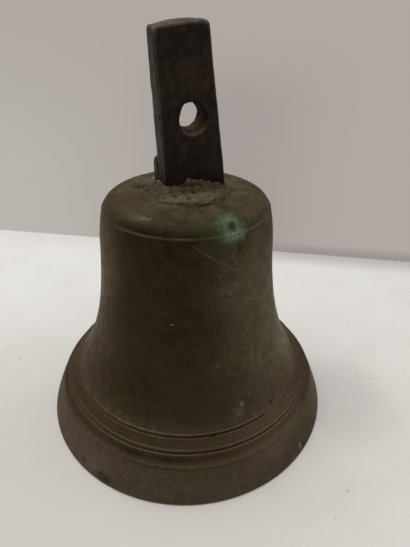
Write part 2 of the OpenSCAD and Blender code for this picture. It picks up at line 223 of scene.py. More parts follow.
def cast_in_the_round(name, section, material, **sizes):
    """Turns a section given in millimetres into one closed mesh. The section is a closed ring, or runs from the
    axis back to the axis. sizes are the tree's inputs, _ for a space."""
    ring = [(p[0] * MM, 0, p[1] * MM) for p in section]
    if section[0][0] > 0:
        ring.append(ring[0])
    piece = new_object(name + "_section", ring, [(i, i + 1) for i in range(len(ring) - 1)])
    turning = piece.modifiers.new("Turned casting", "NODES")
    turning.node_group = turned_casting
    sockets = {s.name: s.identifier for s in turned_casting.interface.items_tree if s.in_out == "INPUT"}
    turning[sockets["Material"]] = material
    for size, value in sizes.items():
        turning[sockets[size.replace("_", " ")]] = value
    solid = bpy.data.meshes.new_from_object(piece.evaluated_get(bpy.context.evaluated_depsgraph_get()))
    piece.modifiers.remove(turning)
    solid.name = name
    bpy.data.objects.remove(piece)
    return linked(name, solid)


def read_points(mesh):
    """The mesh's points, one a row."""
    places = np.empty(len(mesh.vertices) * 3)
    mesh.vertices.foreach_get("co", places)
    return places.reshape(-1, 3)


def write_points(mesh, places):
    """Moves the mesh's points to new places."""
    mesh.vertices.foreach_set("co", places.ravel())
    mesh.update()


def read_normals(mesh):
    """The outward directions at the mesh's points, one a row."""
    ways = np.empty(len(mesh.vertices) * 3)
    mesh.vertex_normals.foreach_get("vector", ways)
    return ways.reshape(-1, 3)


def note(piece, **values):
    """Stores values at a piece's points, under their names."""
    for name, value in values.items():
        piece.data.attributes.new(name, "FLOAT", "POINT").data.foreach_set("value", value)


def note_wear(piece, reach, spread=2):
    """Stores two values a point from how the surface bends: one on edges that stand out, where hands rub, and one
    in hollows, where grime sits. On the poured plug the first paints highlight on its lumps and the second paints
    shade in its folds. reach is the bend, as a slope, that counts in full."""
    mesh = piece.data
    places, ways = read_points(mesh), read_normals(mesh)
    pairs = np.empty(len(mesh.edges) * 2, dtype=int)
    mesh.edges.foreach_get("vertices", pairs)
    a, b = pairs.reshape(-1, 2).T
    run = places[b] - places[a]
    run /= np.maximum(np.linalg.norm(run, axis=1), 1e-9)[:, None]
    bend, count = np.zeros(len(places)), np.zeros(len(places))
    for here, way in ((a, run), (b, -run)):
        np.add.at(bend, here, (ways[here] * way).sum(axis=1))
        np.add.at(count, here, 1)
    bend /= np.maximum(count, 1)
    for _ in range(spread):
        near = bend.copy()
        np.add.at(near, a, bend[b])
        np.add.at(near, b, bend[a])
        bend = near / (count + 1)
    note(piece, Rub=np.clip(-bend / reach, 0, 1), Grime=np.clip(bend / reach, 0, 1))


def group_of(name, inputs, outputs):
    """An empty effect group. inputs gives each input its usual value, and outputs names the values it gives."""
    tree = bpy.data.node_groups.new(name, "ShaderNodeTree")
    for title, value in inputs.items():
        kind = "NodeSocketVector" if isinstance(value, tuple) else "NodeSocketFloat"
        tree.interface.new_socket(title, in_out="INPUT", socket_type=kind).default_value = value
    for title in outputs:
        tree.interface.new_socket(title, in_out="OUTPUT", socket_type="NodeSocketFloat")
    return tree, add(tree, "NodeGroupInput").outputs, add(tree, "NodeGroupOutput")


def vectors(tree, operation, first, second):
    """The result of a Vector Math node: a number for a distance or a dot product, else a vector."""
    made = feed(tree, add(tree, "ShaderNodeVectorMath", operation=operation), i0=first, i1=second)
    return made.outputs["Value" if operation in ("DISTANCE", "DOT_PRODUCT") else "Vector"]


def spanned(tree, value, low, high, to_low=0.0, to_high=1.0):
    """A value taken smoothly from one span to another."""
    made = add(tree, "ShaderNodeMapRange", interpolation_type="SMOOTHSTEP")
    return feed(tree, made, Value=value, From_Min=low, From_Max=high, To_Min=to_low, To_Max=to_high).outputs[0]


def layered(tree, under, over, *shares):
    """One colour laid over another, by the product of its shares."""
    made = add(tree, "ShaderNodeMix", data_type="RGBA")
    return feed(tree, made, i0=times(tree, *shares), i6=under, i7=over).outputs[2]


def noise_at(tree, where, scale, detail, roughness=0.5, seed=None):
    """Cloudy noise about 0.5. A seed picks one of its patterns."""
    if seed is None:
        made = add(tree, "ShaderNodeTexNoise")
    else:
        made = feed(tree, add(tree, "ShaderNodeTexNoise", noise_dimensions="4D"), W=seed)
    return feed(tree, made, Vector=where, Scale=scale, Detail=detail, Roughness=roughness).outputs[0]


def cloudy_group():
    """Patina clouds: broad patches, middling mottle and fine speckle, each from 0 to 1."""
    tree, given, made = group_of("Patina clouds", {"Vector": (0, 0, 0), "Size": 0.02, "Seed": 0.0},
                                 ["Patches", "Mottle", "Speckle"])
    scale = maths(tree, "DIVIDE", 1.0, given["Size"])
    for title, finer, detail, low, high in (("Patches", 1.0, 3.0, 0.35, 0.65), ("Mottle", 5.0, 5.0, 0.36, 0.66),
                                            ("Speckle", 32.0, 4.0, 0.4, 0.64)):
        cloud = noise_at(tree, given["Vector"], times(tree, scale, finer), detail, 0.6, given["Seed"])
        feed(tree, made, **{title: spanned(tree, cloud, low, high)})
    return tree


def spot_group():
    """A ragged spot: 1 at its centre, falling to 0 at its radius, with an uneven edge. Stretch below 1 along
    an axis draws it out that way."""
    tree, given, made = group_of(
        "Ragged spot", {"Vector": (0, 0, 0), "Centre": (0, 0, 0), "Stretch": (1, 1, 1), "Radius": 0.005,
                        "Ragged": 0.5, "Grain": 0.002}, ["Mask", "Distance"])
    away = vectors(tree, "MULTIPLY", vectors(tree, "SUBTRACT", given["Vector"], given["Centre"]), given["Stretch"])
    length = feed(tree, add(tree, "ShaderNodeVectorMath", operation="LENGTH"), i0=away).outputs["Value"]
    share = maths(tree, "DIVIDE", length, given["Radius"])
    cloud = noise_at(tree, given["Vector"], maths(tree, "DIVIDE", 1.0, given["Grain"]), 5.0, 0.65)
    rough = times(tree, less(tree, cloud, 0.5), given["Ragged"], 3.0)
    edge = plus(tree, share, rough)
    feed(tree, made, Mask=spanned(tree, edge, 1.0, 0.45), Distance=edge)
    return tree


def scratch_group():
    """A fine straight scratch between two places on the surface, with broken strength along it."""
    tree, given, made = group_of(
        "Scratch", {"Vector": (0, 0, 0), "From": (0, 0, 0), "To": (0, 0, 0.01), "Width": 0.0003}, ["Mask"])
    run = vectors(tree, "SUBTRACT", given["To"], given["From"])
    away = vectors(tree, "SUBTRACT", given["Vector"], given["From"])
    share = maths(tree, "DIVIDE", vectors(tree, "DOT_PRODUCT", away, run), vectors(tree, "DOT_PRODUCT", run, run),
                  clamp=True)
    nearest = feed(tree, add(tree, "ShaderNodeVectorMath", operation="SCALE"), i0=run, Scale=share).outputs[0]
    line = spanned(tree, vectors(tree, "DISTANCE", away, nearest), given["Width"], 0.0)
    cloud = noise_at(tree, given["Vector"], 600.0, 2.0)
    feed(tree, made, Mask=times(tree, line, spanned(tree, cloud, 0.3, 0.65, 0.4, 1.0)))
    return tree


patina_clouds = cloudy_group()
ragged_spot = spot_group()
scratch = scratch_group()


def placed_group(tree, group, **sockets):
    """An effect group placed in a material, with its own values."""
    return feed(tree, add(tree, "ShaderNodeGroup", node_tree=group), **sockets).outputs


def spot_on(tree, where, centre, radius, ragged, grain, stretch=(1, 1, 1), fade=None):
    """A ragged spot placed in a material. fade is its own edge, as distances in radii and the values there."""
    spot = placed_group(tree, ragged_spot, Vector=where, Centre=centre, Radius=radius, Ragged=ragged, Grain=grain,
                        Stretch=stretch)
    return spanned(tree, spot["Distance"], *fade) if fade else spot["Mask"]


def noted(tree, name):
    """A value that the piece stores at its points, such as Rub or Grime."""
    return add(tree, "ShaderNodeAttribute", attribute_name=name).outputs["Fac"]


def axes_of(tree, vector):
    """A vector's X, Y and Z."""
    return feed(tree, add(tree, "ShaderNodeSeparateXYZ"), Vector=vector).outputs


def surfaced(tree, shader, colour, roughness, metallic, height, strength, depth):
    """Gives a shader its colour, roughness and bare metal, and a bump from a height."""
    bump = feed(tree, add(tree, "ShaderNodeBump"), Height=height, Strength=strength, Distance=depth)
    feed(tree, shader, Base_Color=colour, Roughness=roughness, Metallic=metallic, Normal=bump.outputs[0])


def new_material(name):
    """A material with a Principled shader, and the object's own coordinates."""
    material = bpy.data.materials.new(name)
    material.use_nodes = True
    tree = material.node_tree
    return material, tree, tree.nodes["Principled BSDF"], add(tree, "ShaderNodeTexCoord").outputs["Object"]


def tone(red, green, blue):
    """A colour given as it looks on a screen, from 0 to 255."""
    return tuple(((c / 255 + 0.055) / 1.055) ** 2.4 if c > 10 else c / 255 / 12.92
                 for c in (red, green, blue)) + (1.0,)


def on_bell(azimuth, height, radius):
    """A place on the bell: its bearing round the axis in degrees, with its height and radius in millimetres."""
    a = math.radians(azimuth)
    return (radius * math.cos(a) * MM, radius * math.sin(a) * MM, height * MM)


dark_brown = tone(50, 38, 23)
olive_brown = tone(68, 57, 35)
warm_brown = tone(62, 44, 24)
rubbed_bronze = tone(104, 93, 75)
low_bronze, lip_bronze = tone(78, 67, 50), tone(96, 83, 73)
dusty_bronze = tone(150, 142, 118)
cast_brown, cast_olive = tone(74, 62, 44), tone(88, 82, 58)
struck_bronze = tone(176, 148, 96)
ingrained_dirt = tone(24, 18, 11)
verdigris, pale_verdigris = tone(72, 96, 70), tone(138, 156, 130)
green_stain = tone(56, 66, 42)
poured_dark, poured_light = tone(88, 76, 54), tone(124, 112, 84)

# Places on the crown: the verdigris with its stain and its bloom, and a recess at the left edge of the pour with
# painted shade
stain_at, crust_at, bloom_at = on_bell(-82, 105.6, 34.4), on_bell(-79.5, 107.0, 33.4), on_bell(-79, 104.9, 35.6)
recess_at = (-0.0178, 0.0056, 0.1125)


def bronze_material():
    """Old patina on turned bronze: brown and olive clouds, rubbed ridges, grime in the grooves, one patch of
    verdigris on the shoulder with its stain and drips, and a few scratches and pale flecks. Light and shade are
    painted in too: the darker front and lighter sides are partly painted shade and light, the left shoulder has a
    painted highlight streak with painted shade round it, and a recess at the edge of the pour has painted shade."""
    material, tree, shader, where = new_material("Patinated bronze")
    clouds = placed_group(tree, patina_clouds, Vector=where, Size=0.024, Seed=3.0)
    colour = layered(tree, dark_brown, olive_brown, clouds["Patches"])
    upright = vectors(tree, "MULTIPLY", where, (1, 1, 0.16))
    streaks = placed_group(tree, patina_clouds, Vector=upright, Size=0.016, Seed=9.0)
    colour = layered(tree, colour, warm_brown, streaks["Patches"], 0.5)
    colour = layered(tree, colour, tone(38, 29, 15), streaks["Mottle"], 0.62)
    colour = layered(tree, colour, tone(92, 82, 56), streaks["Speckle"], 0.16)
    # Patina tone round the sides, partly painted shade in front and painted light at the sides
    for place, tint, strength, flat in tone_and_light_sides:
        side = spot_on(tree, where, on_bell(*place), 0.034, 0.3, 0.016, (1, 1, flat), (1.15, 0.35))
        colour = layered(tree, colour, tone(*tint), side, strength)
    level = axes_of(tree, where)["Z"]
    low, lip = spanned(tree, level, 0.042, 0.02), spanned(tree, level, 0.0156, 0.0136)
    colour = layered(tree, colour, low_bronze, low, 0.5)
    colour = layered(tree, colour, lip_bronze, lip, 0.55)
    colour = layered(tree, colour, tone(78, 68, 45), clouds["Mottle"], 0.36)
    fine = placed_group(tree, patina_clouds, Vector=where, Size=0.009, Seed=21.0)
    worn_foot = times(tree, spanned(tree, level, 0.0302, 0.0262), spanned(tree, level, 0.0246, 0.0252))
    worn_foot = times(tree, worn_foot, spanned(tree, fine["Patches"], 0.0, 0.9, 0.25, 0.5))
    colour = layered(tree, colour, rubbed_bronze, worn_foot)
    hollow = times(tree, spanned(tree, level, 0.0158, 0.0172), spanned(tree, level, 0.0194, 0.0184))
    hollow = times(tree, hollow, spanned(tree, fine["Patches"], 0.0, 0.9, 0.35, 0.8))
    colour = layered(tree, colour, tone(40, 31, 18), hollow)
    colour = layered(tree, colour, tone(38, 30, 18), fine["Mottle"], 0.45)
    freckles = times(tree, fine["Speckle"], spanned(tree, level, 0.018, 0.012, 0.12, 0.34))
    colour = layered(tree, colour, tone(116, 106, 88), freckles)
    # Scuffs and marks, and the painted highlight and painted shade on the left shoulder
    for place, tint, strength, reach, flat in marks_and_painted_light:
        mark_and_light = spot_on(tree, where, on_bell(*place), reach, 0.5, 0.0014, (1, 1, flat), (1.2, 0.3))
        colour = layered(tree, colour, tone(*tint), mark_and_light, strength)
    cast = noted(tree, "Cast")
    skin = layered(tree, cast_brown, cast_olive, clouds["Patches"])
    skin = layered(tree, skin, ingrained_dirt, clouds["Speckle"], 0.4)
    colour = layered(tree, colour, skin, cast)
    pour = noted(tree, "Pour")
    poured = layered(tree, tone(70, 62, 46), tone(102, 94, 74), clouds["Mottle"])
    colour = layered(tree, colour, poured, pour)
    # Painted shade in the recess at the left edge of the pour
    recess = spot_on(tree, where, recess_at, 0.0034, 0.4, 0.002, fade=(1.25, 0.3, 0.0, 0.8))
    colour = layered(tree, colour, tone(40, 33, 18), recess)
    struck = [spot_on(tree, where, on_bell(side, strike_z, strike_r), 0.0052, 0.3, 0.0025,
                      (1, 1, 0.75)) for side in (0, 180)]
    struck = maths(tree, "ADD", *struck, clamp=True)
    colour = layered(tree, colour, struck_bronze, struck, 0.8)
    rub = times(tree, spanned(tree, noted(tree, "Rub"), 0.2, 1.0), 0.48)
    grime = spanned(tree, noted(tree, "Grime"), 0.1, 0.9)
    caked = times(tree, grime, spanned(tree, fine["Patches"], 0.0, 0.8, 0.35, 0.85))
    for place, kept in dulled_sides:
        side = spot_on(tree, where, on_bell(*place), 0.03, 0.3, 0.012, fade=(0.4, 1.15, kept, 1.0))
        caked, rub = times(tree, caked, side), times(tree, rub, side)
    colour = layered(tree, colour, rubbed_bronze, rub, clouds["Mottle"])
    colour = layered(tree, colour, rubbed_bronze, rub, 0.3)
    colour = layered(tree, colour, ingrained_dirt, caked)
    bead = times(tree, noted(tree, "Bead"), spanned(tree, fine["Patches"], 0.0, 1.0, 0.08, 0.36))
    colour = layered(tree, colour, dusty_bronze, bead)
    stain = spot_on(tree, where, stain_at, 0.0105, 0.45, 0.005, (0.8, 1, 1), (1.2, 0.2))
    colour = layered(tree, colour, green_stain, stain, 0.6)
    for at, z, wide, tint, strength in drips:
        drip = spot_on(tree, where, on_bell(at, z, drip_r), wide, 0.35, 0.0012, (1, 1, 0.28))
        colour = layered(tree, colour, tint, drip, strength)
    crust = spot_on(tree, where, crust_at, 0.0062, 0.65, 0.0026, fade=(1.25, 0.2))
    bloom = spot_on(tree, where, bloom_at, 0.0052, 0.45, 0.0016, (0.75, 1, 1.6), (1.2, 0.1))
    core = spot_on(tree, where, on_bell(-79.7, 107.1, 33.2), 0.0025, 0.5, 0.0016)
    grains = spanned(tree, noise_at(tree, where, 900.0, 3.0, 0.6), 0.44, 0.68)
    green = times(tree, crust, less(tree, 1.0, times(tree, core, 0.8)))
    colour = layered(tree, colour, verdigris, green, 0.6)
    bright = most(tree, times(tree, green, 0.5), bloom)
    bright = times(tree, bright, spanned(tree, grains, 0.0, 1.0, 0.5, 1.0))
    colour = layered(tree, colour, pale_verdigris, bright)
    colour = layered(tree, colour, tone(40, 48, 28), core, 0.75)
    pale = most(tree, *[placed_group(tree, scratch, Vector=where, From=on_bell(*a), To=on_bell(*b),
                                     Width=w)["Mask"] for a, b, w in scratches])
    colour = layered(tree, colour, dusty_bronze, pale, 0.17)
    feed(tree, shader, Specular_IOR_Level=0.2, Specular_Tint=tone(206, 180, 140))
    mealy = most(tree, green, cast, pour)
    dull = plus(tree, spanned(tree, clouds["Mottle"], 0.0, 1.0, 0.4, 0.54), times(tree, mealy, 0.25))
    dull = less(tree, dull, times(tree, struck, 0.35))
    covered = most(tree, green, grime)
    bare = times(tree, less(tree, 1.0, covered), maths(tree, "ADD", rub, 0.4, clamp=True))
    bare = most(tree, bare, times(tree, struck, 0.8))
    rough = times(tree, clouds["Speckle"], most(tree, cast, pour))
    height = plus(tree, times(tree, clouds["Speckle"], 0.3), times(tree, clouds["Mottle"], 0.6),
                  times(tree, rough, 1.6), times(tree, green, grains, 1.5))
    height = less(tree, height, times(tree, fine["Mottle"], spanned(tree, level, 0.03, 0.012, 0.4, 1.1)),
                  times(tree, pale, 0.8))
    surfaced(tree, shader, colour, dull, bare, height, 0.5, 0.00012)
    return material


# Where the patina is browner or more olive, as (place, colour, strength, how flat). A place is a bearing, a height
# and a radius. The dark front and the lighter right and left sides are partly painted shade and painted light.
tone_and_light_sides = [((-122, 84, 38), (27, 18, 8), 0.85, 0.6), ((-49, 70, 40), (104, 99, 77), 0.7, 0.44),
                ((-60, 25, 56), (102, 90, 72), 0.5, 1.5), ((-150, 6, 69), (106, 94, 78), 0.45, 1.6),
                ((36, 60, 41), (36, 25, 13), 0.7, 0.42), ((120, 68, 41), (74, 70, 46), 0.4, 0.42)]
# Sides where the mouldings are dull, as (place, how much of their dirt and rub is kept)
dulled_sides = [((-158, 22, 58), 0.3), ((-48, 22, 58), 0.6)]
# Scuffs, flecks, nicks and lighter and darker patches, as (place, colour, strength, radius, how flat). On the left
# shoulder they paint a highlight streak in two parts, with painted shade above and below it.
marks_and_painted_light = [((-138, 106.6, 33.6), (34, 25, 14), 0.6, 0.009, 2.2), ((167, 111.6, 21.4), (38, 32, 18), 0.7, 0.0042, 1.0),
          # Left shoulder: painted shade over the broad highlight, then the painted highlight streak in two parts
          ((-143, 110.8, 28.6), (50, 41, 29), 0.5, 0.0062, 2.4),
          ((-138.5, 109.4, 30.7), (150, 140, 124), 0.2, 0.0032, 8.0),
          ((-143.5, 109.2, 31.0), (140, 130, 112), 0.14, 0.005, 5.0),
          ((-70, 18.0, 61.5), (106, 94, 76), 0.6, 0.026, 2.2), ((-42, 90, 37.6), (54, 61, 43), 0.5, 0.014, 0.6),
          ((-176, 107, 33), (68, 65, 53), 0.36, 0.012, 0.8), ((-150, 110, 29), (70, 66, 46), 0.32, 0.011, 1.5),
          ((-34, 38, 47), (122, 119, 98), 0.33, 0.016, 1.0), ((-172, 88, 37.6), (94, 83, 60), 0.35, 0.014, 0.6),
          ((-57, 6, 69), (54, 47, 38), 0.42, 0.02, 2.0), ((172, 9, 68), (46, 38, 27), 0.45, 0.014, 1.5),
          ((-152, 9.5, 68), (98, 85, 68), 0.5, 0.022, 2.0), ((-92, 20, 59), (80, 68, 50), 0.42, 0.03, 2.4),
          ((-102, 35, 49.5), (72, 60, 44), 0.34, 0.022, 1.2),
          ((-82.0, 32.0, 50.5), (146, 138, 112), 0.5, 0.0012, 0.8),
          ((-84.1, 28.8, 52.4), (138, 130, 106), 0.48, 0.0012, 1.3),
          ((-78.3, 29.2, 52.2), (132, 124, 100), 0.42, 0.001, 1.6),
          ((-77.2, 26.4, 54.2), (138, 130, 106), 0.4, 0.001, 1.8),
          ((-84.5, 29.6, 52.0), (112, 104, 82), 0.38, 0.0038, 1.2),
          ((-66.0, 26.6, 54.4), (18, 12, 6), 0.8, 0.0017, 0.9),
          ((-147.0, 5.0, 68.7), (114, 105, 90), 0.42, 0.0046, 1.4),
          ((-142.5, 3.8, 69.0), (28, 21, 13), 0.5, 0.0016, 1.0),
          ((-151.5, 4.2, 68.9), (28, 22, 14), 0.5, 0.0014, 1.0),
          ((-138.5, 2.8, 69.2), (32, 25, 16), 0.45, 0.002, 1.6),
          ((-67, 25.2, 55.4), (104, 92, 72), 0.45, 0.0042, 1.2),
          ((-60.5, 3.8, 68.8), (150, 156, 138), 0.7, 0.0014, 0.8),
          ((-112.9, 2.5, 69.3), (26, 19, 12), 0.45, 0.001, 1.0),
          ((-98.3, 24.2, 55.7), (22, 15, 6), 0.85, 0.002, 3.5), ((-140, 3.0, 69.2), (38, 36, 28), 0.45, 0.006, 2.2),
          ((-117.9, 70.3, 39.5), (150, 140, 120), 0.55, 0.0009, 2.4),
          ((-90.3, 89.8, 37.5), (150, 138, 116), 0.42, 0.0008, 2.6),
          ((-83.1, 81.7, 38.2), (144, 132, 112), 0.4, 0.0008, 1.2),
          ((-85.0, 67.9, 39.7), (112, 102, 82), 0.4, 0.0007, 1.0),
          ((-92.4, 50.7, 43.3), (134, 124, 102), 0.32, 0.0007, 0.8),
          ((-122.3, 83.9, 38.0), (112, 106, 82), 0.28, 0.0007, 1.0),
          ((-120.3, 75.3, 38.9), (122, 112, 90), 0.28, 0.0006, 1.0),
          ((-67.2, 107.9, 33.2), (26, 22, 12), 0.7, 0.0009, 0.4)]
# Drips under the verdigris, as (bearing, height, half width, colour, strength)
drips = [(-76.8, 100.6, 0.0013, ingrained_dirt, 0.5), (-81.3, 95.9, 0.0009, dusty_bronze, 0.2),
         (-70.6, 93.6, 0.0012, dusty_bronze, 0.13)]
# Scratches, as (start, end, width)
scratches = [
    ((-105.4, 102.9, 35.9), (-99.4, 99.9, 36.5), 0.0007), ((-99.4, 99.9, 36.5), (-89.1, 95.2, 37.1), 0.0009),
    ((-89.1, 95.2, 37.1), (-78.7, 90.7, 37.5), 0.0008), ((-77.3, 78.6, 38.6), (-66.5, 75.0, 38.9), 0.0006),
    ((-66.5, 75.0, 38.9), (-54.0, 70.6, 39.4), 0.0006), ((-62.1, 84.6, 38.0), (-54.7, 82.3, 38.1), 0.0005),
    ((-68.7, 55.1, 42.1), (-70.4, 48.1, 44.0), 0.0009), ((-63.0, 52.9, 42.7), (-65.1, 46.0, 44.7), 0.0009),
    ((-99.2, 107.4, 34.0), (-97.6, 107.4, 34.0), 0.0005), ((-53, 74.1, 39.0), (-51, 74.1, 39.0), 0.0003)]


def step(value, low, high):
    """A number taken smoothly from 0 at low to 1 at high. It also works on whole arrays."""
    share = np.clip((value - low) / (high - low), 0, 1)
    return share * share * (3 - 2 * share)


def bearing(places):
    """Bearings of points round the bell's axis, in degrees."""
    return np.degrees(np.arctan2(places[:, 1], places[:, 0]))


def near_bearing(bearings, at, reach):
    """1 at a bearing, falling smoothly to 0 a reach away on either side."""
    return 1 - step(np.abs((bearings - at + 180) % 360 - 180), 0, reach)


def wave(x, y, z):
    """Smooth noise at a place, about 0."""
    return noise.noise(Vector((x, y, z)))


def grit(p, size):
    """Rough noise of a size at a place, about 0."""
    return noise.fractal(p / size, 1.0, 2.0, 3)


# The edge of the crown's rough top, as two heights, and where it keeps back and where the bead is clean, as
# (bearing, reach)
pour_edge, short_pour, clean_bead = (109.4, 111.6), (-152, 55), (-172, 40)
# The stretch of the upper ridge that is worn flat, as (bearing, reach) and the heights of its foot and its top
worn_ridge, ridge_foot, ridge_top = (-67.5, 8.0), (22.8, 23.4), (25.5, 25.9)
# The side where all the mouldings are worn down, as (bearing, reach), and how much of their relief is gone
worn_side, side_loss = (-158, 42), 0.42


def mark_regions(piece):
    """Stores three values a point: Cast on the inside, left as it was cast, Pour on the crown's rough top, and
    Bead along the dusty bead of the shoulder."""
    places = read_points(piece.data) / MM
    heights, bearings = places[:, 2], bearing(places)
    radii, levels = np.array(outer_section).T
    inside = np.hypot(places[:, 0], places[:, 1]) < np.interp(heights, levels, radii) - skin_depth
    inside &= heights < bell_h - 3
    way = np.radians(bearings)
    level = heights + 0.5 * np.sin(way * 7) + 0.6 * np.sin(way * 3 + 1) - 1.1 * near_bearing(bearings, *short_pour)
    poured = step(level, *pour_edge) * ~inside
    bead = np.maximum(1 - np.abs(heights - bead_z) / 0.5, 0) * ~inside
    bead *= 1 - 0.8 * near_bearing(bearings, *clean_bead)
    note(piece, Cast=inside.astype(float), Pour=poured, Bead=bead)
    return inside, poured


def weather_bell(piece):
    """Wears one stretch of the upper ridge flat and the mouldings of the left side lower, nicks and chips the
    outside, and roughens the inside and the top of the crown."""
    mesh = piece.data
    places, ways = read_points(mesh) / MM, read_normals(mesh)
    inside, poured = mark_regions(piece)
    bearings, heights = bearing(places), places[:, 2]
    plain = np.interp(heights, [p.y for p, _ in bow_curve()], [p.x for p, _ in bow_curve()])
    girth = np.hypot(places[:, 0], places[:, 1])
    flat = np.clip(near_bearing(bearings, *worn_ridge) * 1.7, 0, 1)
    flat *= step(heights, *ridge_foot) * (1 - step(heights, *ridge_top)) * ~inside
    left = near_bearing(bearings, *worn_side) * (heights < moulding_top_z) * ~inside
    worn = np.maximum(0.9 * flat, side_loss * left)
    moved = places.copy()
    moved[:, :2] *= (1 - worn * (girth - plain) / girth)[:, None]
    depth = np.zeros(len(places))
    for at, z, wide, tall, deep in nicks:
        depth += deep * near_bearing(bearings, at, wide) * (1 - step(np.abs(heights - z), 0, tall)) * ~inside
    for i in np.nonzero(inside)[0]:
        p = Vector(places[i])
        depth[i] += 0.16 * noise.noise(p / 7) + 0.12 * grit(p, 2.2)
    depth[inside] *= 1 - step(12 - heights[inside], 8, 12)
    for i in np.nonzero(poured)[0]:
        depth[i] += poured[i] * (0.1 + 0.3 * grit(Vector(places[i]), 3.2))
    moved -= ways * depth[:, None]
    moved[:, 2] = np.maximum(moved[:, 2], 0)
    girth = np.hypot(moved[:, 0], moved[:, 1])
    moved[:, :2] *= np.minimum(1, (mouth_r - 0.01) / girth)[:, None]
    write_points(mesh, moved * MM)


# Nicks in the outside as (bearing, height, half width in degrees, half height, depth)
nicks = [(-66.2, 26.1, 1.1, 1.7, 0.4), (-60.5, 3.6, 1.6, 1.4, 0.35), (-112.9, 2.5, 1.2, 0.8, 0.3),
         (-133.7, 4.4, 2.2, 1.5, 0.22), (-98.3, 24.3, 2.6, 0.6, 0.35), (-143.0, 2.4, 1.0, 1.2, 0.35),
         (-137.6, 1.2, 1.4, 1.0, 0.4), (-129.8, 5.0, 3.0, 0.6, 0.2), (-122.4, 5.6, 3.5, 0.5, 0.2),
         (-103.3, 3.7, 1.6, 0.6, 0.2), (-67.2, 107.9, 0.6, 1.9, 0.35), (-83.6, 30.4, 1.4, 0.9, 0.12),
         (-80.1, 30.8, 0.8, 0.7, 0.1), (-122.1, 83.8, 1.3, 0.6, 0.1), (28.0, 2.2, 2.5, 1.6, 0.4),
         (96.0, 4.0, 1.4, 1.8, 0.35), (151.0, 1.8, 2.0, 1.5, 0.45), (72.0, 24.6, 1.6, 0.8, 0.4),
         (170.0, 20.4, 1.2, 0.9, 0.4), (118.0, 63.0, 2.2, 1.6, 0.12), (35.0, 48.0, 1.8, 1.2, 0.14)]

outer_section, inner_section = bell_outline()
patinated_bronze = bronze_material()
bell = cast_in_the_round("bell_shell", outer_section + inner_section, patinated_bronze, Steps_Round=320,
                         Unevenness=0.00035, Unevenness_Size=0.035, Seed=4.0)
weather_bell(bell)
note_wear(bell, 0.09, 1)
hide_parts("bell_body")
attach(bell, "bell")


# The hanger is one iron forging: a tapered flat bar with a hole to hang it by, drawn down to a tang that goes
# through the crown and ends in an eye. Its faces are hammered, and its foot shows the seams of the iron.
strap_foot = Vector((2.1, -1.3, bell_h))
strap_lean_x, strap_lean_y = 6.6, 5.0
strap_foot_w, strap_foot_t, strap_taper = 25.4, 10.0, 0.055
hang_hole_r, hang_mouth_r, hang_hole_x, hang_hole_z = 5.0, 5.7, 1.2, 28.5
hang_bore_y, hang_bore_half_l = 1.75, 2.65
pin_z, pin_r, eye_gap, tang_t = 95.0, 3.0, 0.01, 7.0
strap_frame = (Matrix.Translation(strap_foot) @ Matrix.Rotation(math.radians(-strap_lean_x), 4, "Y")
               @ Matrix.Rotation(math.radians(strap_lean_y), 4, "X"))


def even_skin(name, node, square, easing):
    """A skin of small even squares over a copy of a solid, with its edges eased so many times. Millimetres."""
    piece = linked(name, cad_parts[node].data.copy())
    shape = bmesh.new()
    shape.from_mesh(piece.data)
    bmesh.ops.remove_doubles(shape, verts=shape.verts, dist=1e-6)
    shape.to_mesh(piece.data)
    shape.free()
    skin = piece.modifiers.new("Skin", "REMESH")
    skin.mode, skin.voxel_size = "VOXEL", square * MM
    ease = piece.modifiers.new("Ease", "SMOOTH")
    ease.factor, ease.iterations = 0.5, easing
    mesh = bpy.data.meshes.new_from_object(piece.evaluated_get(bpy.context.evaluated_depsgraph_get()))
    piece.modifiers.clear()
    solid = piece.data
    piece.data = mesh
    bpy.data.meshes.remove(solid)
    mesh.name = name
    mesh.materials.clear()
    mesh.polygons.foreach_set("use_smooth", [True] * len(mesh.polygons))
    return piece


def worked(piece, depth):
    """Moves each point along its normal by depth(place), all in millimetres."""
    mesh = piece.data
    places, ways = read_points(mesh), read_normals(mesh)
    moves = np.array([depth(Vector(p)) for p in places / MM])
    write_points(mesh, places + ways * moves[:, None] * MM)


def trued_bore(piece, centre, along, radius, half_length, reach=0.6):
    """Brings the wall of a bore back to its radius, apart from its eased mouths. Millimetres."""
    mesh = piece.data
    places, ways = read_points(mesh) / MM - np.array(centre), read_normals(mesh)
    along = np.array(along) / np.linalg.norm(along)
    level = places @ along
    across = places - level[:, None] * along
    gap = np.linalg.norm(across, axis=1)
    wall = (np.abs(gap - radius) < reach) & (np.abs(level) < half_length) & (np.abs(ways @ along) < 0.4)
    places[wall] = (across * (radius / np.maximum(gap, 1e-6))[:, None])[wall] + (level[:, None] * along)[wall]
    write_points(mesh, (places + np.array(centre)) * MM)


def hammered_strap(p):
    """Hammer marks over the strap, and the seams of the iron down the narrow sides of its foot."""
    at = strap_frame.inverted() @ p
    dents = 0.12 * noise.noise(at / 7.5) + 0.07 * noise.noise(at / 3.2 + Vector((7, 0, 0)))
    skin = 0.05 * grit(at, 1.3)
    if at.z < -1:
        return 0.5 * skin - 0.03
    half_w = strap_foot_w / 2 - at.z * strap_taper
    side = step(abs(at.x), half_w - 1.4, half_w - 0.5)
    seams = wave(at.y * 0.75, at.z * 0.03, 3.0) - 0.05
    low = 0.6 - 0.45 * step(at.z, 8, 26)
    edges = 0.07 * wave(at.x * 0.3, at.y * 0.3, at.z * 0.14 + 4)
    wide = 0.22 + 0.16 * step(at.z, 8, 50)
    return dents + skin + side * (low * min(seams, 0.15) + edges + wide) - 0.06


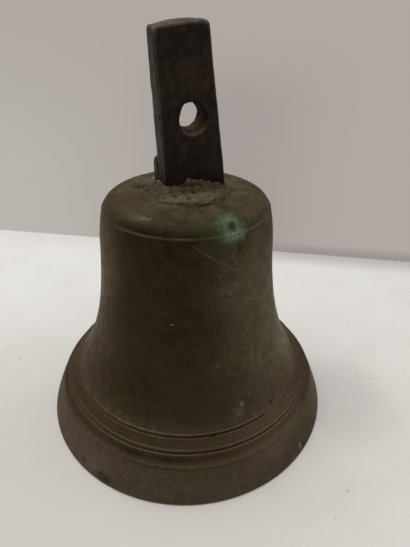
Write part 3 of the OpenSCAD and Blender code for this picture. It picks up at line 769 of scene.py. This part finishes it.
def mark_strap(piece):
    """Pulls the hole's mouth up where the bolt has worn it, raises a burr at its back, and stores Bore over its
    wall, Ochre over the dusty lower wall, and a third value over the worn bright lip of its mouth and, as a
    painted highlight, over the strap's top end."""
    mesh = piece.data
    into = strap_frame.inverted()
    places = [into @ Vector(p) for p in read_points(mesh) / MM]
    facing = read_normals(mesh) @ np.array(strap_frame.col[2][:3])
    crest = {}
    for p in places:
        crest[round(p.x)] = max(crest.get(round(p.x), 0), p.z)
    bore, ochre, worn = (np.zeros(len(places)) for _ in range(3))
    for i, p in enumerate(places):
        across, up = p.x - hang_hole_x, p.z - hang_hole_z
        gap = math.hypot(across, up)
        down = crest[round(p.x)] - p.z
        # The top end and the top of the front face get a painted highlight
        worn[i] = 0.6 * step(p.z, 50, 55) * step(facing[i], 0.2, 0.7)
        worn[i] = max(worn[i], 0.6 * step(p.z, 40, 50) * step(p.x, -4, 8) * (1 - step(down, 0.9, 1.6)))
        if gap > hang_mouth_r + 2.5:
            continue
        away = Vector((across, up)) / max(gap, 0.1)
        mouth = 1 - step(p.y, -4.2, -0.6)
        if mouth > 0 and gap > hang_hole_r - 0.6:
            pull = mouth * (0.6 * step(away.y, 0.5, 1.0) + 0.25 * step(away.x, 0.2, 1) - 0.5 * step(-away.x, 0.3, 1))
            pull *= 1 - step(gap, hang_mouth_r, hang_mouth_r + 2.4)
            p.x, p.z = p.x + away.x * pull, p.z + away.y * pull
        burr = 0.5 * step(p.y, 3.5, 4.3) * step(away.x, 0.1, 0.8) * (1 - step(gap, hang_hole_r, hang_hole_r + 1.5))
        p.x, p.z = p.x - away.x * burr, p.z - away.y * burr
        rim = hang_hole_r + 0.05 + 0.75 * mouth
        bore[i] = 1 - step(gap, rim, rim + 0.3)
        ochre[i] = bore[i] * step(0.1 * away.x - away.y, 0.0, 0.85)
        worn[i] = (1 - step(gap, rim + 0.1, rim + 0.6)) * step(mouth, 0.5, 0.85) * step(-away.y, 0.45, 0.85)
        places[i] = p
    write_points(mesh, np.array([strap_frame @ p for p in places]) * MM)
    note(piece, Bore=bore, Ochre=ochre, Worn=worn)


def forged_group():
    """The skin of hammered iron: lengthwise Grain, dark Pits, and Flakes of old scale, each from 0 to 1. Draw
    is how far the grain is drawn out along Z."""
    tree, given, made = group_of("Forged skin", {"Vector": (0, 0, 0), "Size": 0.004, "Draw": 6.0, "Seed": 0.0},
                                 ["Grain", "Pits", "Flakes"])
    where, seed, scale = given["Vector"], given["Seed"], maths(tree, "DIVIDE", 1.0, given["Size"])
    short = feed(tree, add(tree, "ShaderNodeCombineXYZ"), X=1.0, Y=1.0, Z=maths(tree, "DIVIDE", 1.0, given["Draw"]))
    drawn = vectors(tree, "MULTIPLY", where, short.outputs[0])
    grain = noise_at(tree, drawn, times(tree, scale, 4.0), 5.0, 0.6, seed)
    cells = feed(tree, add(tree, "ShaderNodeTexVoronoi", voronoi_dimensions="4D", feature="SMOOTH_F1"), Vector=where,
                 W=seed, Scale=times(tree, scale, 2.6), Smoothness=0.4)
    scatter = noise_at(tree, where, scale, 3.0, seed=seed)
    pits = times(tree, spanned(tree, cells.outputs["Distance"], 0.36, 0.1), spanned(tree, scatter, 0.48, 0.6))
    flakes = noise_at(tree, where, times(tree, scale, 1.4), 6.0, 0.7, plus(tree, seed, 5.0))
    feed(tree, made, Grain=spanned(tree, grain, 0.36, 0.64), Pits=pits, Flakes=spanned(tree, flakes, 0.5, 0.58))
    return tree


forged_skin = forged_group()


def iron_material(name, look):
    """Hammered iron. look gives its tones, the Size and Draw of its skin, how much rust shows, its roughness and
    how bare it is, spots as (colour, strength, place, radius), and worn places as (stored value, colour,
    strength)."""
    material, tree, shader, where = new_material(name)
    skin = placed_group(tree, forged_skin, Vector=where, Size=look["size"], Draw=look["draw"], Seed=look["seed"])
    clouds = placed_group(tree, patina_clouds, Vector=where, Size=look["cloud"], Seed=look["seed"])
    colour = layered(tree, look["dark"], look["light"], clouds["Patches"])
    colour = layered(tree, colour, look["grain"], skin["Grain"], 0.55)
    colour = layered(tree, colour, look["dark"], clouds["Mottle"], 0.5)
    rust = times(tree, skin["Flakes"], look["rust_share"])
    colour = layered(tree, colour, look["rust"], rust)
    for tint, strength, place, radius in look["spots"]:
        spot = spot_on(tree, where, place, radius, 0.35, 0.003)
        colour = layered(tree, colour, tint, spot, strength)
    for noted_name, tint, strength in look["worn"]:
        broken = spanned(tree, skin["Grain"], 0.0, 1.0, 0.6 * strength, strength)
        colour = layered(tree, colour, tint, noted(tree, noted_name), broken)
    rub = spanned(tree, noted(tree, "Rub"), 0.2, 1.0)
    colour = layered(tree, colour, look["rubbed"], rub, 0.55)
    grime = most(tree, spanned(tree, noted(tree, "Grime"), 0.2, 1.0), times(tree, skin["Pits"], 0.8))
    colour = layered(tree, colour, look["grime"], grime, 0.7)
    rust = most(tree, rust, noted(tree, "Bore"))
    dull = plus(tree, spanned(tree, clouds["Mottle"], 0.0, 1.0, look["rough"] - 0.05, look["rough"] + 0.07),
                times(tree, rust, 0.25))
    dull = less(tree, dull, times(tree, rub, 0.12))
    bare = times(tree, less(tree, 1.0, most(tree, rust, grime)), look["bare"])
    height = plus(tree, times(tree, skin["Grain"], 0.6), times(tree, clouds["Speckle"], 0.25),
                  times(tree, skin["Flakes"], 0.25))
    height = less(tree, height, times(tree, skin["Pits"], 0.9))
    shader.inputs["Specular IOR Level"].default_value = look["shine"]
    surfaced(tree, shader, colour, dull, bare, height, 0.6, 0.00014)
    return material


black_iron = iron_material("Black forged iron", {
    "dark": tone(20, 13, 9), "light": tone(49, 38, 29), "grain": tone(66, 54, 45), "rust": tone(58, 43, 31),
    "rubbed": tone(128, 116, 108), "grime": tone(14, 10, 7), "size": 0.0042, "draw": 2.6, "cloud": 0.013,
    "seed": 2.0, "rust_share": 0.14, "rough": 0.52, "bare": 0.35, "shine": 0.17,
    # A painted shade round the hang hole on the strap's front
    "spots": [(tone(17, 11, 8), 0.45, strap_frame @ Vector((0, -4.5, 30)) * MM, 0.0082)],
    "worn": [("Bore", tone(22, 16, 9), 0.9), ("Ochre", tone(92, 68, 38), 0.9), ("Worn", tone(114, 101, 92), 0.7)]})

strap = even_skin("strap_forging", "hanger_strap", 0.38, 2)
worked(strap, hammered_strap)
trued_bore(strap, strap_frame @ Vector((hang_hole_x, hang_bore_y, hang_hole_z)),
           strap_frame.to_3x3() @ Vector((0, 1, 0)), hang_hole_r, hang_bore_half_l)
mark_strap(strap)
trued_bore(strap, (0, 0, pin_z), (0, 1, 0), pin_r + eye_gap, tang_t / 2 - 0.4)
strap.data.materials.append(black_iron)
note_wear(strap, 0.22, 2)
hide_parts("hanger_strap")
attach(strap, "bell")


# The wedge is a short piece of iron hammered into the crown behind the strap, which it holds tight. Its end
# stands out of the bronze, split and dented.
def split_wedge(p):
    """Seams and small dents over the wedge."""
    at = strap_frame.inverted() @ p
    seams = wave(at.x * 0.5, at.y * 0.8, at.z * 0.05 + 9)
    return 0.5 * min(seams, 0.1) + 0.08 * noise.noise(at / 4) + 0.05 * grit(at, 1.2) - 0.03


wedge = even_skin("crown_wedge", "hanger_wedge", 0.34, 3)
worked(wedge, split_wedge)
wedge.data.materials.append(black_iron)
note_wear(wedge, 0.22, 2)
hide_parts("hanger_wedge")
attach(wedge, "bell")


# The plug is bronze run into the crown round the tang and the wedge. It set rough and lumpy, lapped a little up
# the strap, and left a crack and some pits round its edge. Nothing was done to finish it.
plug_r, plug_edge_h, plug_rise = 21.6, 0.6, 3.6
plug_edge_slope, plug_top_slope = 68, 90
cracked_edge = (-1.75, 1.1)  # the angle of its middle and its reach, in radians

# Pits, folds and the crack as (x, y, depth, reach in x, reach in y), and lumps with a depth below 0
plug_marks = [
    (-1.9, -20.3, 1.3, 1.1, 0.7), (1.6, -19.9, 1.2, 0.8, 0.6), (6.3, -18.4, 1.1, 0.9, 0.7),
    (-12.6, -16.9, 0.5, 1.6, 0.5), (-10.4, -18.5, 0.6, 1.6, 0.5), (-8.0, -19.6, 0.7, 1.8, 0.5),
    (-5.2, -20.2, 0.6, 1.6, 0.5), (12.0, -15.4, 0.45, 2.4, 1.2), (14.8, -12.6, 0.4, 1.6, 1.6),
    (-18.6, 4.0, 1.0, 1.7, 2.2), (-16.2, -0.8, 1.0, 0.8, 0.8), (-4.8, -7.6, 0.9, 1.4, 0.9),
    (0.8, -8.6, 0.9, 2.8, 0.7), (1.2, -10.2, -0.6, 2.8, 0.6), (-9.6, -8.2, -0.6, 2.2, 1.4),
    (-1.6, -6.6, -0.5, 1.8, 0.9), (-12.8, -11.8, 0.6, 1.0, 0.8), (-9.4, -12.4, 0.5, 1.6, 0.6),
    (-4.4, -12.8, 0.6, 0.9, 0.9), (-6.8, -11.2, -0.4, 1.4, 0.6), (-8.5, -15.0, -0.45, 2.6, 0.7),
    (-16.4, -11.0, -0.5, 0.5, 1.5), (7.5, -9.5, 0.5, 2.2, 0.8), (8.8, -12.4, -0.4, 2.4, 0.7),
    (4.2, -14.6, -0.35, 2.6, 0.8), (16.5, -8.6, -0.4, 0.8, 2.0), (9.0, 9.5, 0.6, 1.0, 0.8),
    (-6.0, 15.0, 0.7, 1.0, 0.8), (17.0, 3.0, 0.5, 0.8, 1.2), (-10.5, 9.0, -0.5, 2.0, 1.2)]


# The gap between the plug and the crown, as (bearing, half length in degrees, how dark)
plug_gaps = [(-129, 10, 1.1), (-110, 9, 1.0), (-95, 5, 1.4), (-84, 5, 0.8), (-74, 4, 1.4), (-62, 8, 0.8),
             (-42, 15, 0.8), (168, 9, 0.9)]


def gap_at(way):
    """How dark the gap beside the plug is at an angle, in radians."""
    return sum(dark * math.exp(-((math.degrees(way) - at) / half) ** 2) for at, half, dark in plug_gaps)


def near_angle(way, at, reach):
    """1 at an angle, falling smoothly to 0 a reach away on either side, all in radians."""
    return 1 - step(abs((way - at + math.pi) % (2 * math.pi) - math.pi), 0, reach)


def plug_height(x, y, edge):
    """Height of the plug's surface over the crown: it runs out into the crown, but for a cracked edge in front,
    and is lapped up against the strap."""
    at = strap_frame.inverted() @ Vector((x, y, bell_h))
    off = math.hypot(max(abs(at.x) - strap_foot_w / 2, 0), max(abs(at.y) - strap_foot_t / 2, 0))
    share = min(math.hypot(x, y) / edge, 1)
    way = math.atan2(y, x)
    crack = near_angle(way, *cracked_edge) * step(wave(x / 2.6, y / 2.6, 11), -0.45, 0.15)
    swell = -0.4 + 0.75 * crack + 2.9 * (1 - share ** 1.8)
    climb = (0.72 + 0.28 * step(at.x, -11, -2)) * (1 - 0.74 * step(at.x, 6, 12.5))
    lap = 3.1 * climb * math.exp(-off / 2.0) * (0.85 + 0.5 * wave(x / 2.5, y / 2.5, 1))
    p = Vector((x, y, 0))
    lumps = 0.5 * noise.fractal(p / 3.4, 0.85, 2.1, 3)
    folds = 0.5 * wave(x * 0.2, y * 0.62, 5) + 0.28 * wave(x * 0.4, y * 1.2, 8)
    marks = sum(deep * math.exp(-((x - mx) / rx) ** 2 - ((y - my) / ry) ** 2) for mx, my, deep, rx, ry in plug_marks)
    groove = 0.9 * min(gap_at(way), 1) * math.exp(-((share - 0.94) / 0.04) ** 2)
    return swell + lap + (lumps + folds) * step(1 - share, 0, 0.12) - marks - groove


def poured_plug(piece):
    """Reshapes everything above the crown into the rough pour, gives it an uneven edge, and stores Crack along
    the dark gap in front."""
    mesh = piece.data
    places = read_points(mesh) / MM
    cracked = np.zeros(len(places))
    dome = swept((plug_r, bell_h + plug_edge_h), plug_edge_slope, 0.3, (0, bell_h + plug_rise), plug_top_slope, 0.5,
                 30)
    radii, tops = [p.x for p, _ in dome][::-1], [p.y - bell_h for p, _ in dome][::-1]
    for i, (x, y, z) in enumerate(places):
        if z < bell_h - 0.1:
            continue
        r, way = math.hypot(x, y), math.atan2(y, x)
        turn = Vector((math.cos(way), math.sin(way), 3))
        edge = plug_r - 0.9 + 1.1 * math.cos(way + 2.4) + 0.7 * noise.noise(turn * 2.4) + 0.5 * noise.noise(turn * 9)
        spread = 1 + (edge / plug_r - 1) * step(r, plug_r - 9, plug_r)
        up = max(z - bell_h, 0) / max(np.interp(r, radii, tops), 0.1)
        x, y = x * spread, y * spread
        high = plug_height(x, y, edge)
        under = min(0, high - 0.15)
        cracked[i] = gap_at(way) * math.exp(-((math.hypot(x, y) / edge - 0.96) / 0.06) ** 2)
        places[i] = x, y, bell_h + under + min(up, 1.05) * (high - under) + min(z - bell_h, 0)
    write_points(mesh, places * MM)
    note(piece, Crack=np.clip(1.8 * cracked, 0, 1))


# Shaded parts of the pour, left and right of the strap, as (place, strength, radius)
shaded_pour = [((-0.0155, -0.0045, 0.113), 0.5, 0.009), ((0.0175, -0.0075, 0.1132), 0.16, 0.009),
               (recess_at, 0.8, 0.0034)]


def poured_material():
    """Bronze as it set: dull and mealy, darker in its pits, browner next to the iron. Painted highlight lies on its
    lumps, and painted shade in its folds, beside the strap and in the recess at its edge.
    """
    material, tree, shader, where = new_material("Rough poured bronze")
    clouds = placed_group(tree, patina_clouds, Vector=where, Size=0.014, Seed=11.0)
    skin = placed_group(tree, forged_skin, Vector=where, Size=0.0035, Draw=1.0, Seed=4.0)
    colour = layered(tree, poured_dark, poured_light, clouds["Patches"])
    colour = layered(tree, colour, tone(62, 50, 30), clouds["Mottle"], 0.3)
    colour = layered(tree, colour, tone(130, 120, 92), skin["Flakes"], 0.2)
    foot = vectors(tree, "MULTIPLY", where, (1, 1.6, 1))
    stain = spot_on(tree, foot, (0.004, -0.0095, 0.1155), 0.0125, 0.3, 0.003, fade=(1.2, 0.75))
    # Painted highlight on the raised lumps of the pour
    raised = spanned(tree, noted(tree, "Rub"), 0.1, 0.9)
    colour = layered(tree, colour, tone(158, 145, 114), raised, 0.7)
    colour = layered(tree, colour, tone(64, 48, 31), stain, 0.5)
    for place, strength, reach in shaded_pour:
        shade = spot_on(tree, where, place, reach, 0.3, 0.003, fade=(1.3, 0.4))
        colour = layered(tree, colour, tone(46, 38, 23), shade, strength)
    # Grime in the pits, and painted shade in the folds
    dirt_and_shade = most(tree, spanned(tree, noted(tree, "Grime"), 0.08, 0.75), skin["Pits"])
    colour = layered(tree, colour, tone(34, 25, 11), dirt_and_shade, 0.85)
    colour = layered(tree, colour, tone(20, 13, 6), noted(tree, "Crack"), 0.9)
    dull = spanned(tree, clouds["Mottle"], 0.0, 1.0, 0.6, 0.76)
    bare = times(tree, less(tree, 1.0, dirt_and_shade), 0.3)
    height = less(tree, plus(tree, clouds["Speckle"], clouds["Mottle"]), skin["Pits"])
    shader.inputs["Specular IOR Level"].default_value = 0.3
    surfaced(tree, shader, colour, dull, bare, height, 0.7, 0.0002)
    return material


plug = even_skin("poured_plug", "crown_plug", 0.36, 1)
poured_plug(plug)
plug.data.materials.append(poured_material())
note_wear(plug, 0.13, 5)
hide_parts("crown_plug")
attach(plug, "bell")


# The clapper hangs on an iron rivet through the tang's eye. It is one plain pin, and its two heads were
# hammered round.
pin_half_l, pin_head_r, pin_head_h = 8.3, 5.0, 2.2


def rivet_section():
    """Half the rivet's section, from one end to the other, with a slightly flattened head at each end."""
    half = [(pin_r, 0.0), (pin_r, pin_half_l), (pin_head_r - 0.15, pin_half_l), (pin_head_r, pin_half_l + 0.25)]
    for i in range(2, 12):
        a = math.pi / 2 * i / 12
        half.append((pin_head_r * math.cos(a) ** 0.8, pin_half_l + pin_head_h * math.sin(a) ** 0.9))
    half.append((0.0, pin_half_l + pin_head_h))
    return [(r, -z) for r, z in half[:0:-1]] + half


def rust_of(seed, spots):
    """The look of the clapper's iron: brown-black, with thin rust where the air gets at it."""
    return {"dark": tone(48, 38, 32), "light": tone(76, 58, 46), "grain": tone(92, 74, 60),
            "rust": tone(112, 70, 44), "rubbed": tone(128, 116, 104), "grime": tone(22, 16, 12), "size": 0.004,
            "draw": 5.0, "cloud": 0.012, "seed": seed, "rust_share": 0.45, "rough": 0.6, "bare": 0.4,
            "shine": 0.4, "spots": spots, "worn": []}


rusty_iron = iron_material("Rusty clapper iron", rust_of(6.0, []))
rivet = cast_in_the_round("clapper_rivet", rivet_section(), rusty_iron, Steps_Round=72)
rivet.data.transform(Matrix.Translation(Vector((0, 0, pin_z)) * MM) @ Matrix.Rotation(math.radians(90), 4, "X"))
worked(rivet, lambda p: 0.12 * noise.noise(p / 2.4) * step(abs(p.y), pin_half_l + 0.3, pin_half_l + 1.2))
note_wear(rivet, 0.25, 1)
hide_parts("clapper_pin")
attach(rivet, "bell")


# The clapper's shank is forged: a fork with two jaws round the tang, a shank that swells downwards, a collar, and
# a tenon that is hammered over under the ball.
pin_gap, jaw_reach = 0.08, 9.0
ball_r, ball_z, collar_z = 13.0, 17.0, 28.4


def drawn_shank(p):
    """Flats and seams that the hammer leaves along the shank. The tenon in the ball is left true."""
    if abs(p.z - ball_z) < collar_z - ball_z + 0.4:
        return 0.0
    flats = 0.16 * wave(p.x / 5, p.y / 5, p.z / 9) + 0.07 * noise.noise(p / 2.6)
    way = math.atan2(p.y, p.x)
    seams = 0.14 * min(wave(math.cos(way) * 2, math.sin(way) * 2, p.z * 0.05 + 6), 0.1)
    return flats + seams + 0.05 * grit(p, 1.2) - 0.06


shank = even_skin("clapper_shank", "clapper_stem", 0.36, 3)
worked(shank, drawn_shank)
trued_bore(shank, (0, 0, pin_z), (0, 1, 0), pin_r + pin_gap, jaw_reach)
shank.data.materials.append(rusty_iron)
note_wear(shank, 0.22, 2)
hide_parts("clapper_stem")
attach(shank, "clapper")


# The ball is iron, drilled for the shank's tenon, and it seats on small flats above and below. It is dented all
# over, and beaten flat and bright where it strikes.
tenon_clear_r, seat_z = 4, 10.9


def beaten_ball(p):
    """Dents all over the ball, and one flat on each side where it strikes the bell."""
    at = p - Vector((0, 0, ball_z))
    if math.hypot(at.x, at.y) < tenon_clear_r or abs(at.z) > seat_z:
        return 0.0
    strike = 0.45 * math.exp(-((ball_r - abs(at.x)) / 0.9) ** 2) if abs(at.x) > 9 else 0.0
    return (0.18 * noise.noise(at / 6.5) + 0.08 * noise.noise(at / 2.8) - strike
            + 0.05 * grit(at, 1.3) - 0.08)


ball = even_skin("clapper_ball_forging", "clapper_ball", 0.5, 2)
worked(ball, beaten_ball)
bright_iron = tone(156, 146, 134)
ball_iron = iron_material("Struck clapper iron", rust_of(8.0, [
    (bright_iron, 0.75, (side * ball_r * MM, 0, ball_z * MM), 0.0052) for side in (-1, 1)]))
ball.data.materials.append(ball_iron)
note_wear(ball, 0.2, 2)
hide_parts("clapper_ball")
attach(ball, "clapper")


# The camera stands where the photograph was taken from, about 235 mm away, above the bell and a little to its
# left. It is held a little askew.
eye = Vector((-51.8, -155.7, 170.65)) * MM
heading, tilt, roll = math.radians(-21.26), math.radians(58.34), math.radians(0.85)
camera = linked("camera", bpy.data.cameras.new("camera"))
camera.matrix_world = (Matrix.Translation(eye) @ Matrix.Rotation(heading, 4, "Z") @ Matrix.Rotation(tilt, 4, "X")
                       @ Matrix.Rotation(roll, 4, "Z"))
camera.data.sensor_width = 36
camera.data.lens = 27.03
camera.data.clip_start = 0.01
bpy.context.scene.camera = camera


# The table is a pale top, and a grey wall stands a long way behind it; both carry painted light and shade. The
# light is soft: it comes from above, from behind and from both sides, and the side where the camera stands is darker.
table_edge = (Vector((-0.104, 0.240)), Vector((0.216, 0.062)))
table_reach, wall_reach, wall_gap = 2.5, 4.0, 1.5
wall_foot_z, wall_top_z = -1.5, 2.0
along = (table_edge[1] - table_edge[0]).normalized()
front = Vector((along.y, -along.x))
middle = (table_edge[0] + table_edge[1]) / 2

table_specks = [(-88, 50, 0.9), (-80, 43, 0.6), (-96, 60, 0.7), (100, 40, 1.0), (96, -35, 0.8), (43, -84, 1.0),
                (31, -92, 0.5), (-70, -20, 0.5), (118, 12, 0.7), (-60, 92, 0.8)]


def table_material():
    """A white top with painted light, brighter towards the window at the back and right, a painted shadow beside the
    bell, painted shade along its back edge, and a few grey specks of grime.
    """
    material, tree, shader, where = new_material("White table")
    # Painted light: the top is brighter towards the back and the right
    apart = axes_of(tree, where)
    away = plus(tree, apart["Y"], times(tree, apart["X"], 0.35))
    near = layered(tree, tone(219, 215, 209), tone(240, 235, 230), spanned(tree, apart["X"], -0.1, 0.08))
    colour = layered(tree, near, tone(244, 242, 239), spanned(tree, away, -0.06, 0.11))
    # Painted shade along the top's back edge, stronger to the right
    sideways, from_edge = (less(tree, vectors(tree, "DOT_PRODUCT", where, (way.x, way.y, 0)),
                                middle.dot(way)) for way in (along, front))
    edge = times(tree, spanned(tree, from_edge, 0.026, 0.0), spanned(tree, sideways, -0.14, 0.1, 0.12, 0.6))
    colour = layered(tree, colour, tone(168, 160, 156), edge)
    cloud = spanned(tree, noise_at(tree, where, 30.0, 4.0), 0.45, 0.7, 0.0, 0.12)
    colour = layered(tree, colour, tone(206, 200, 194), cloud)
    # The first spot is a painted shadow beside the bell; the rest are specks of grime
    spots = [(70, -40, 34, 0.28, tone(170, 165, 162))]
    spots += [(x, y, reach, 0.42, tone(142, 136, 128)) for x, y, reach in table_specks]
    for x, y, reach, strength, tint in spots:
        spot = spot_on(tree, where, (x * MM, y * MM, 0), reach * MM, 0.3, 0.002, fade=(1.2, 0.3))
        colour = layered(tree, colour, tint, spot, strength)
    feed(tree, shader, Base_Color=colour, Roughness=0.6)
    return material


def wall_material():
    """A wall that the camera and mirrors see in its own grey, with painted light to the lower left, a painted shadow
    behind the bell and painted shade along its foot, and that lights nothing by itself.
    """
    material, tree, shader, where = new_material("Grey wall")
    sideways = less(tree, vectors(tree, "DOT_PRODUCT", where, (along.x, along.y, 0)), middle.dot(along))
    level = axes_of(tree, where)["Z"]
    lit = times(tree, spanned(tree, sideways, -0.3, -1.2), spanned(tree, level, 0.3, -0.5))
    grey = layered(tree, tone(175, 168, 163), tone(186, 180, 174), lit)
    shaded = spanned(tree, maths(tree, "ABSOLUTE", plus(tree, sideways, 0.07)), 0.55, 0.0)
    shaded = times(tree, shaded, spanned(tree, level, 0.15, -0.15))
    grey = layered(tree, grey, tone(162, 154, 150), shaded, 0.8)
    # A painted shade band low on the wall, along the table's edge
    low = times(tree, spanned(tree, level, -0.735, -0.785), spanned(tree, sideways, -0.9, 0.3))
    grey = layered(tree, grey, tone(156, 148, 144), low)
    feed(tree, shader, Base_Color=grey)
    glow = feed(tree, add(tree, "ShaderNodeEmission"), Color=grey, Strength=1.0)
    ray = add(tree, "ShaderNodeLightPath").outputs
    seen = most(tree, ray["Is Camera Ray"], most(tree, ray["Is Glossy Ray"], ray["Is Transmission Ray"]))
    both = feed(tree, add(tree, "ShaderNodeMixShader"), i0=seen, i1=shader.outputs[0], i2=glow.outputs[0])
    feed(tree, tree.nodes["Material Output"], Surface=both.outputs[0])
    return material


corners = [middle - along * table_reach, middle + along * table_reach]
corners += [corners[1] + front * table_reach, corners[0] + front * table_reach]
table = new_object("table", [(c.x, c.y, 0) for c in corners], faces=[(3, 2, 1, 0)])
table.data.materials.append(table_material())
foot = [middle - front * wall_gap + along * wall_reach * side for side in (-1, 1)]
rise = (wall_foot_z, wall_foot_z, wall_top_z, wall_top_z)
wall = new_object("wall", [(c.x, c.y, z) for c, z in zip(foot + foot[::-1], rise)], faces=[(0, 1, 2, 3)])
wall.data.materials.append(wall_material())


def room_light():
    """Soft light that depends on where it comes from: most from above and behind, least from the camera's side
    and from the left."""
    world = bpy.data.worlds.new("Soft room")
    world.use_nodes = True
    tree = world.node_tree
    way = axes_of(tree, add(tree, "ShaderNodeTexCoord").outputs["Generated"])
    ahead = spanned(tree, way["Y"], -0.6, 0.5, 0.1, 0.72)
    high = spanned(tree, way["Z"], 0.2, 0.95, 0.0, 0.74)
    both = times(tree, plus(tree, ahead, high), spanned(tree, way["X"], -0.9, 0.7, 0.5, 1.08))
    feed(tree, tree.nodes["Background"], Color=(0.93, 0.92, 0.9, 1), Strength=both)
    return world


bpy.context.scene.world = room_light()
lamp = linked("window_light", bpy.data.lights.new("window_light", "AREA"))
lamp.data.shape = "RECTANGLE"
lamp.data.size, lamp.data.size_y = 1.3, 1.0
lamp.data.energy = 7
lamp.location = (-0.35, 0.35, 1.25)
lamp.rotation_euler = (-lamp.location).to_track_quat("-Z", "Y").to_euler()
bpy.context.scene.view_settings.view_transform = "Standard"
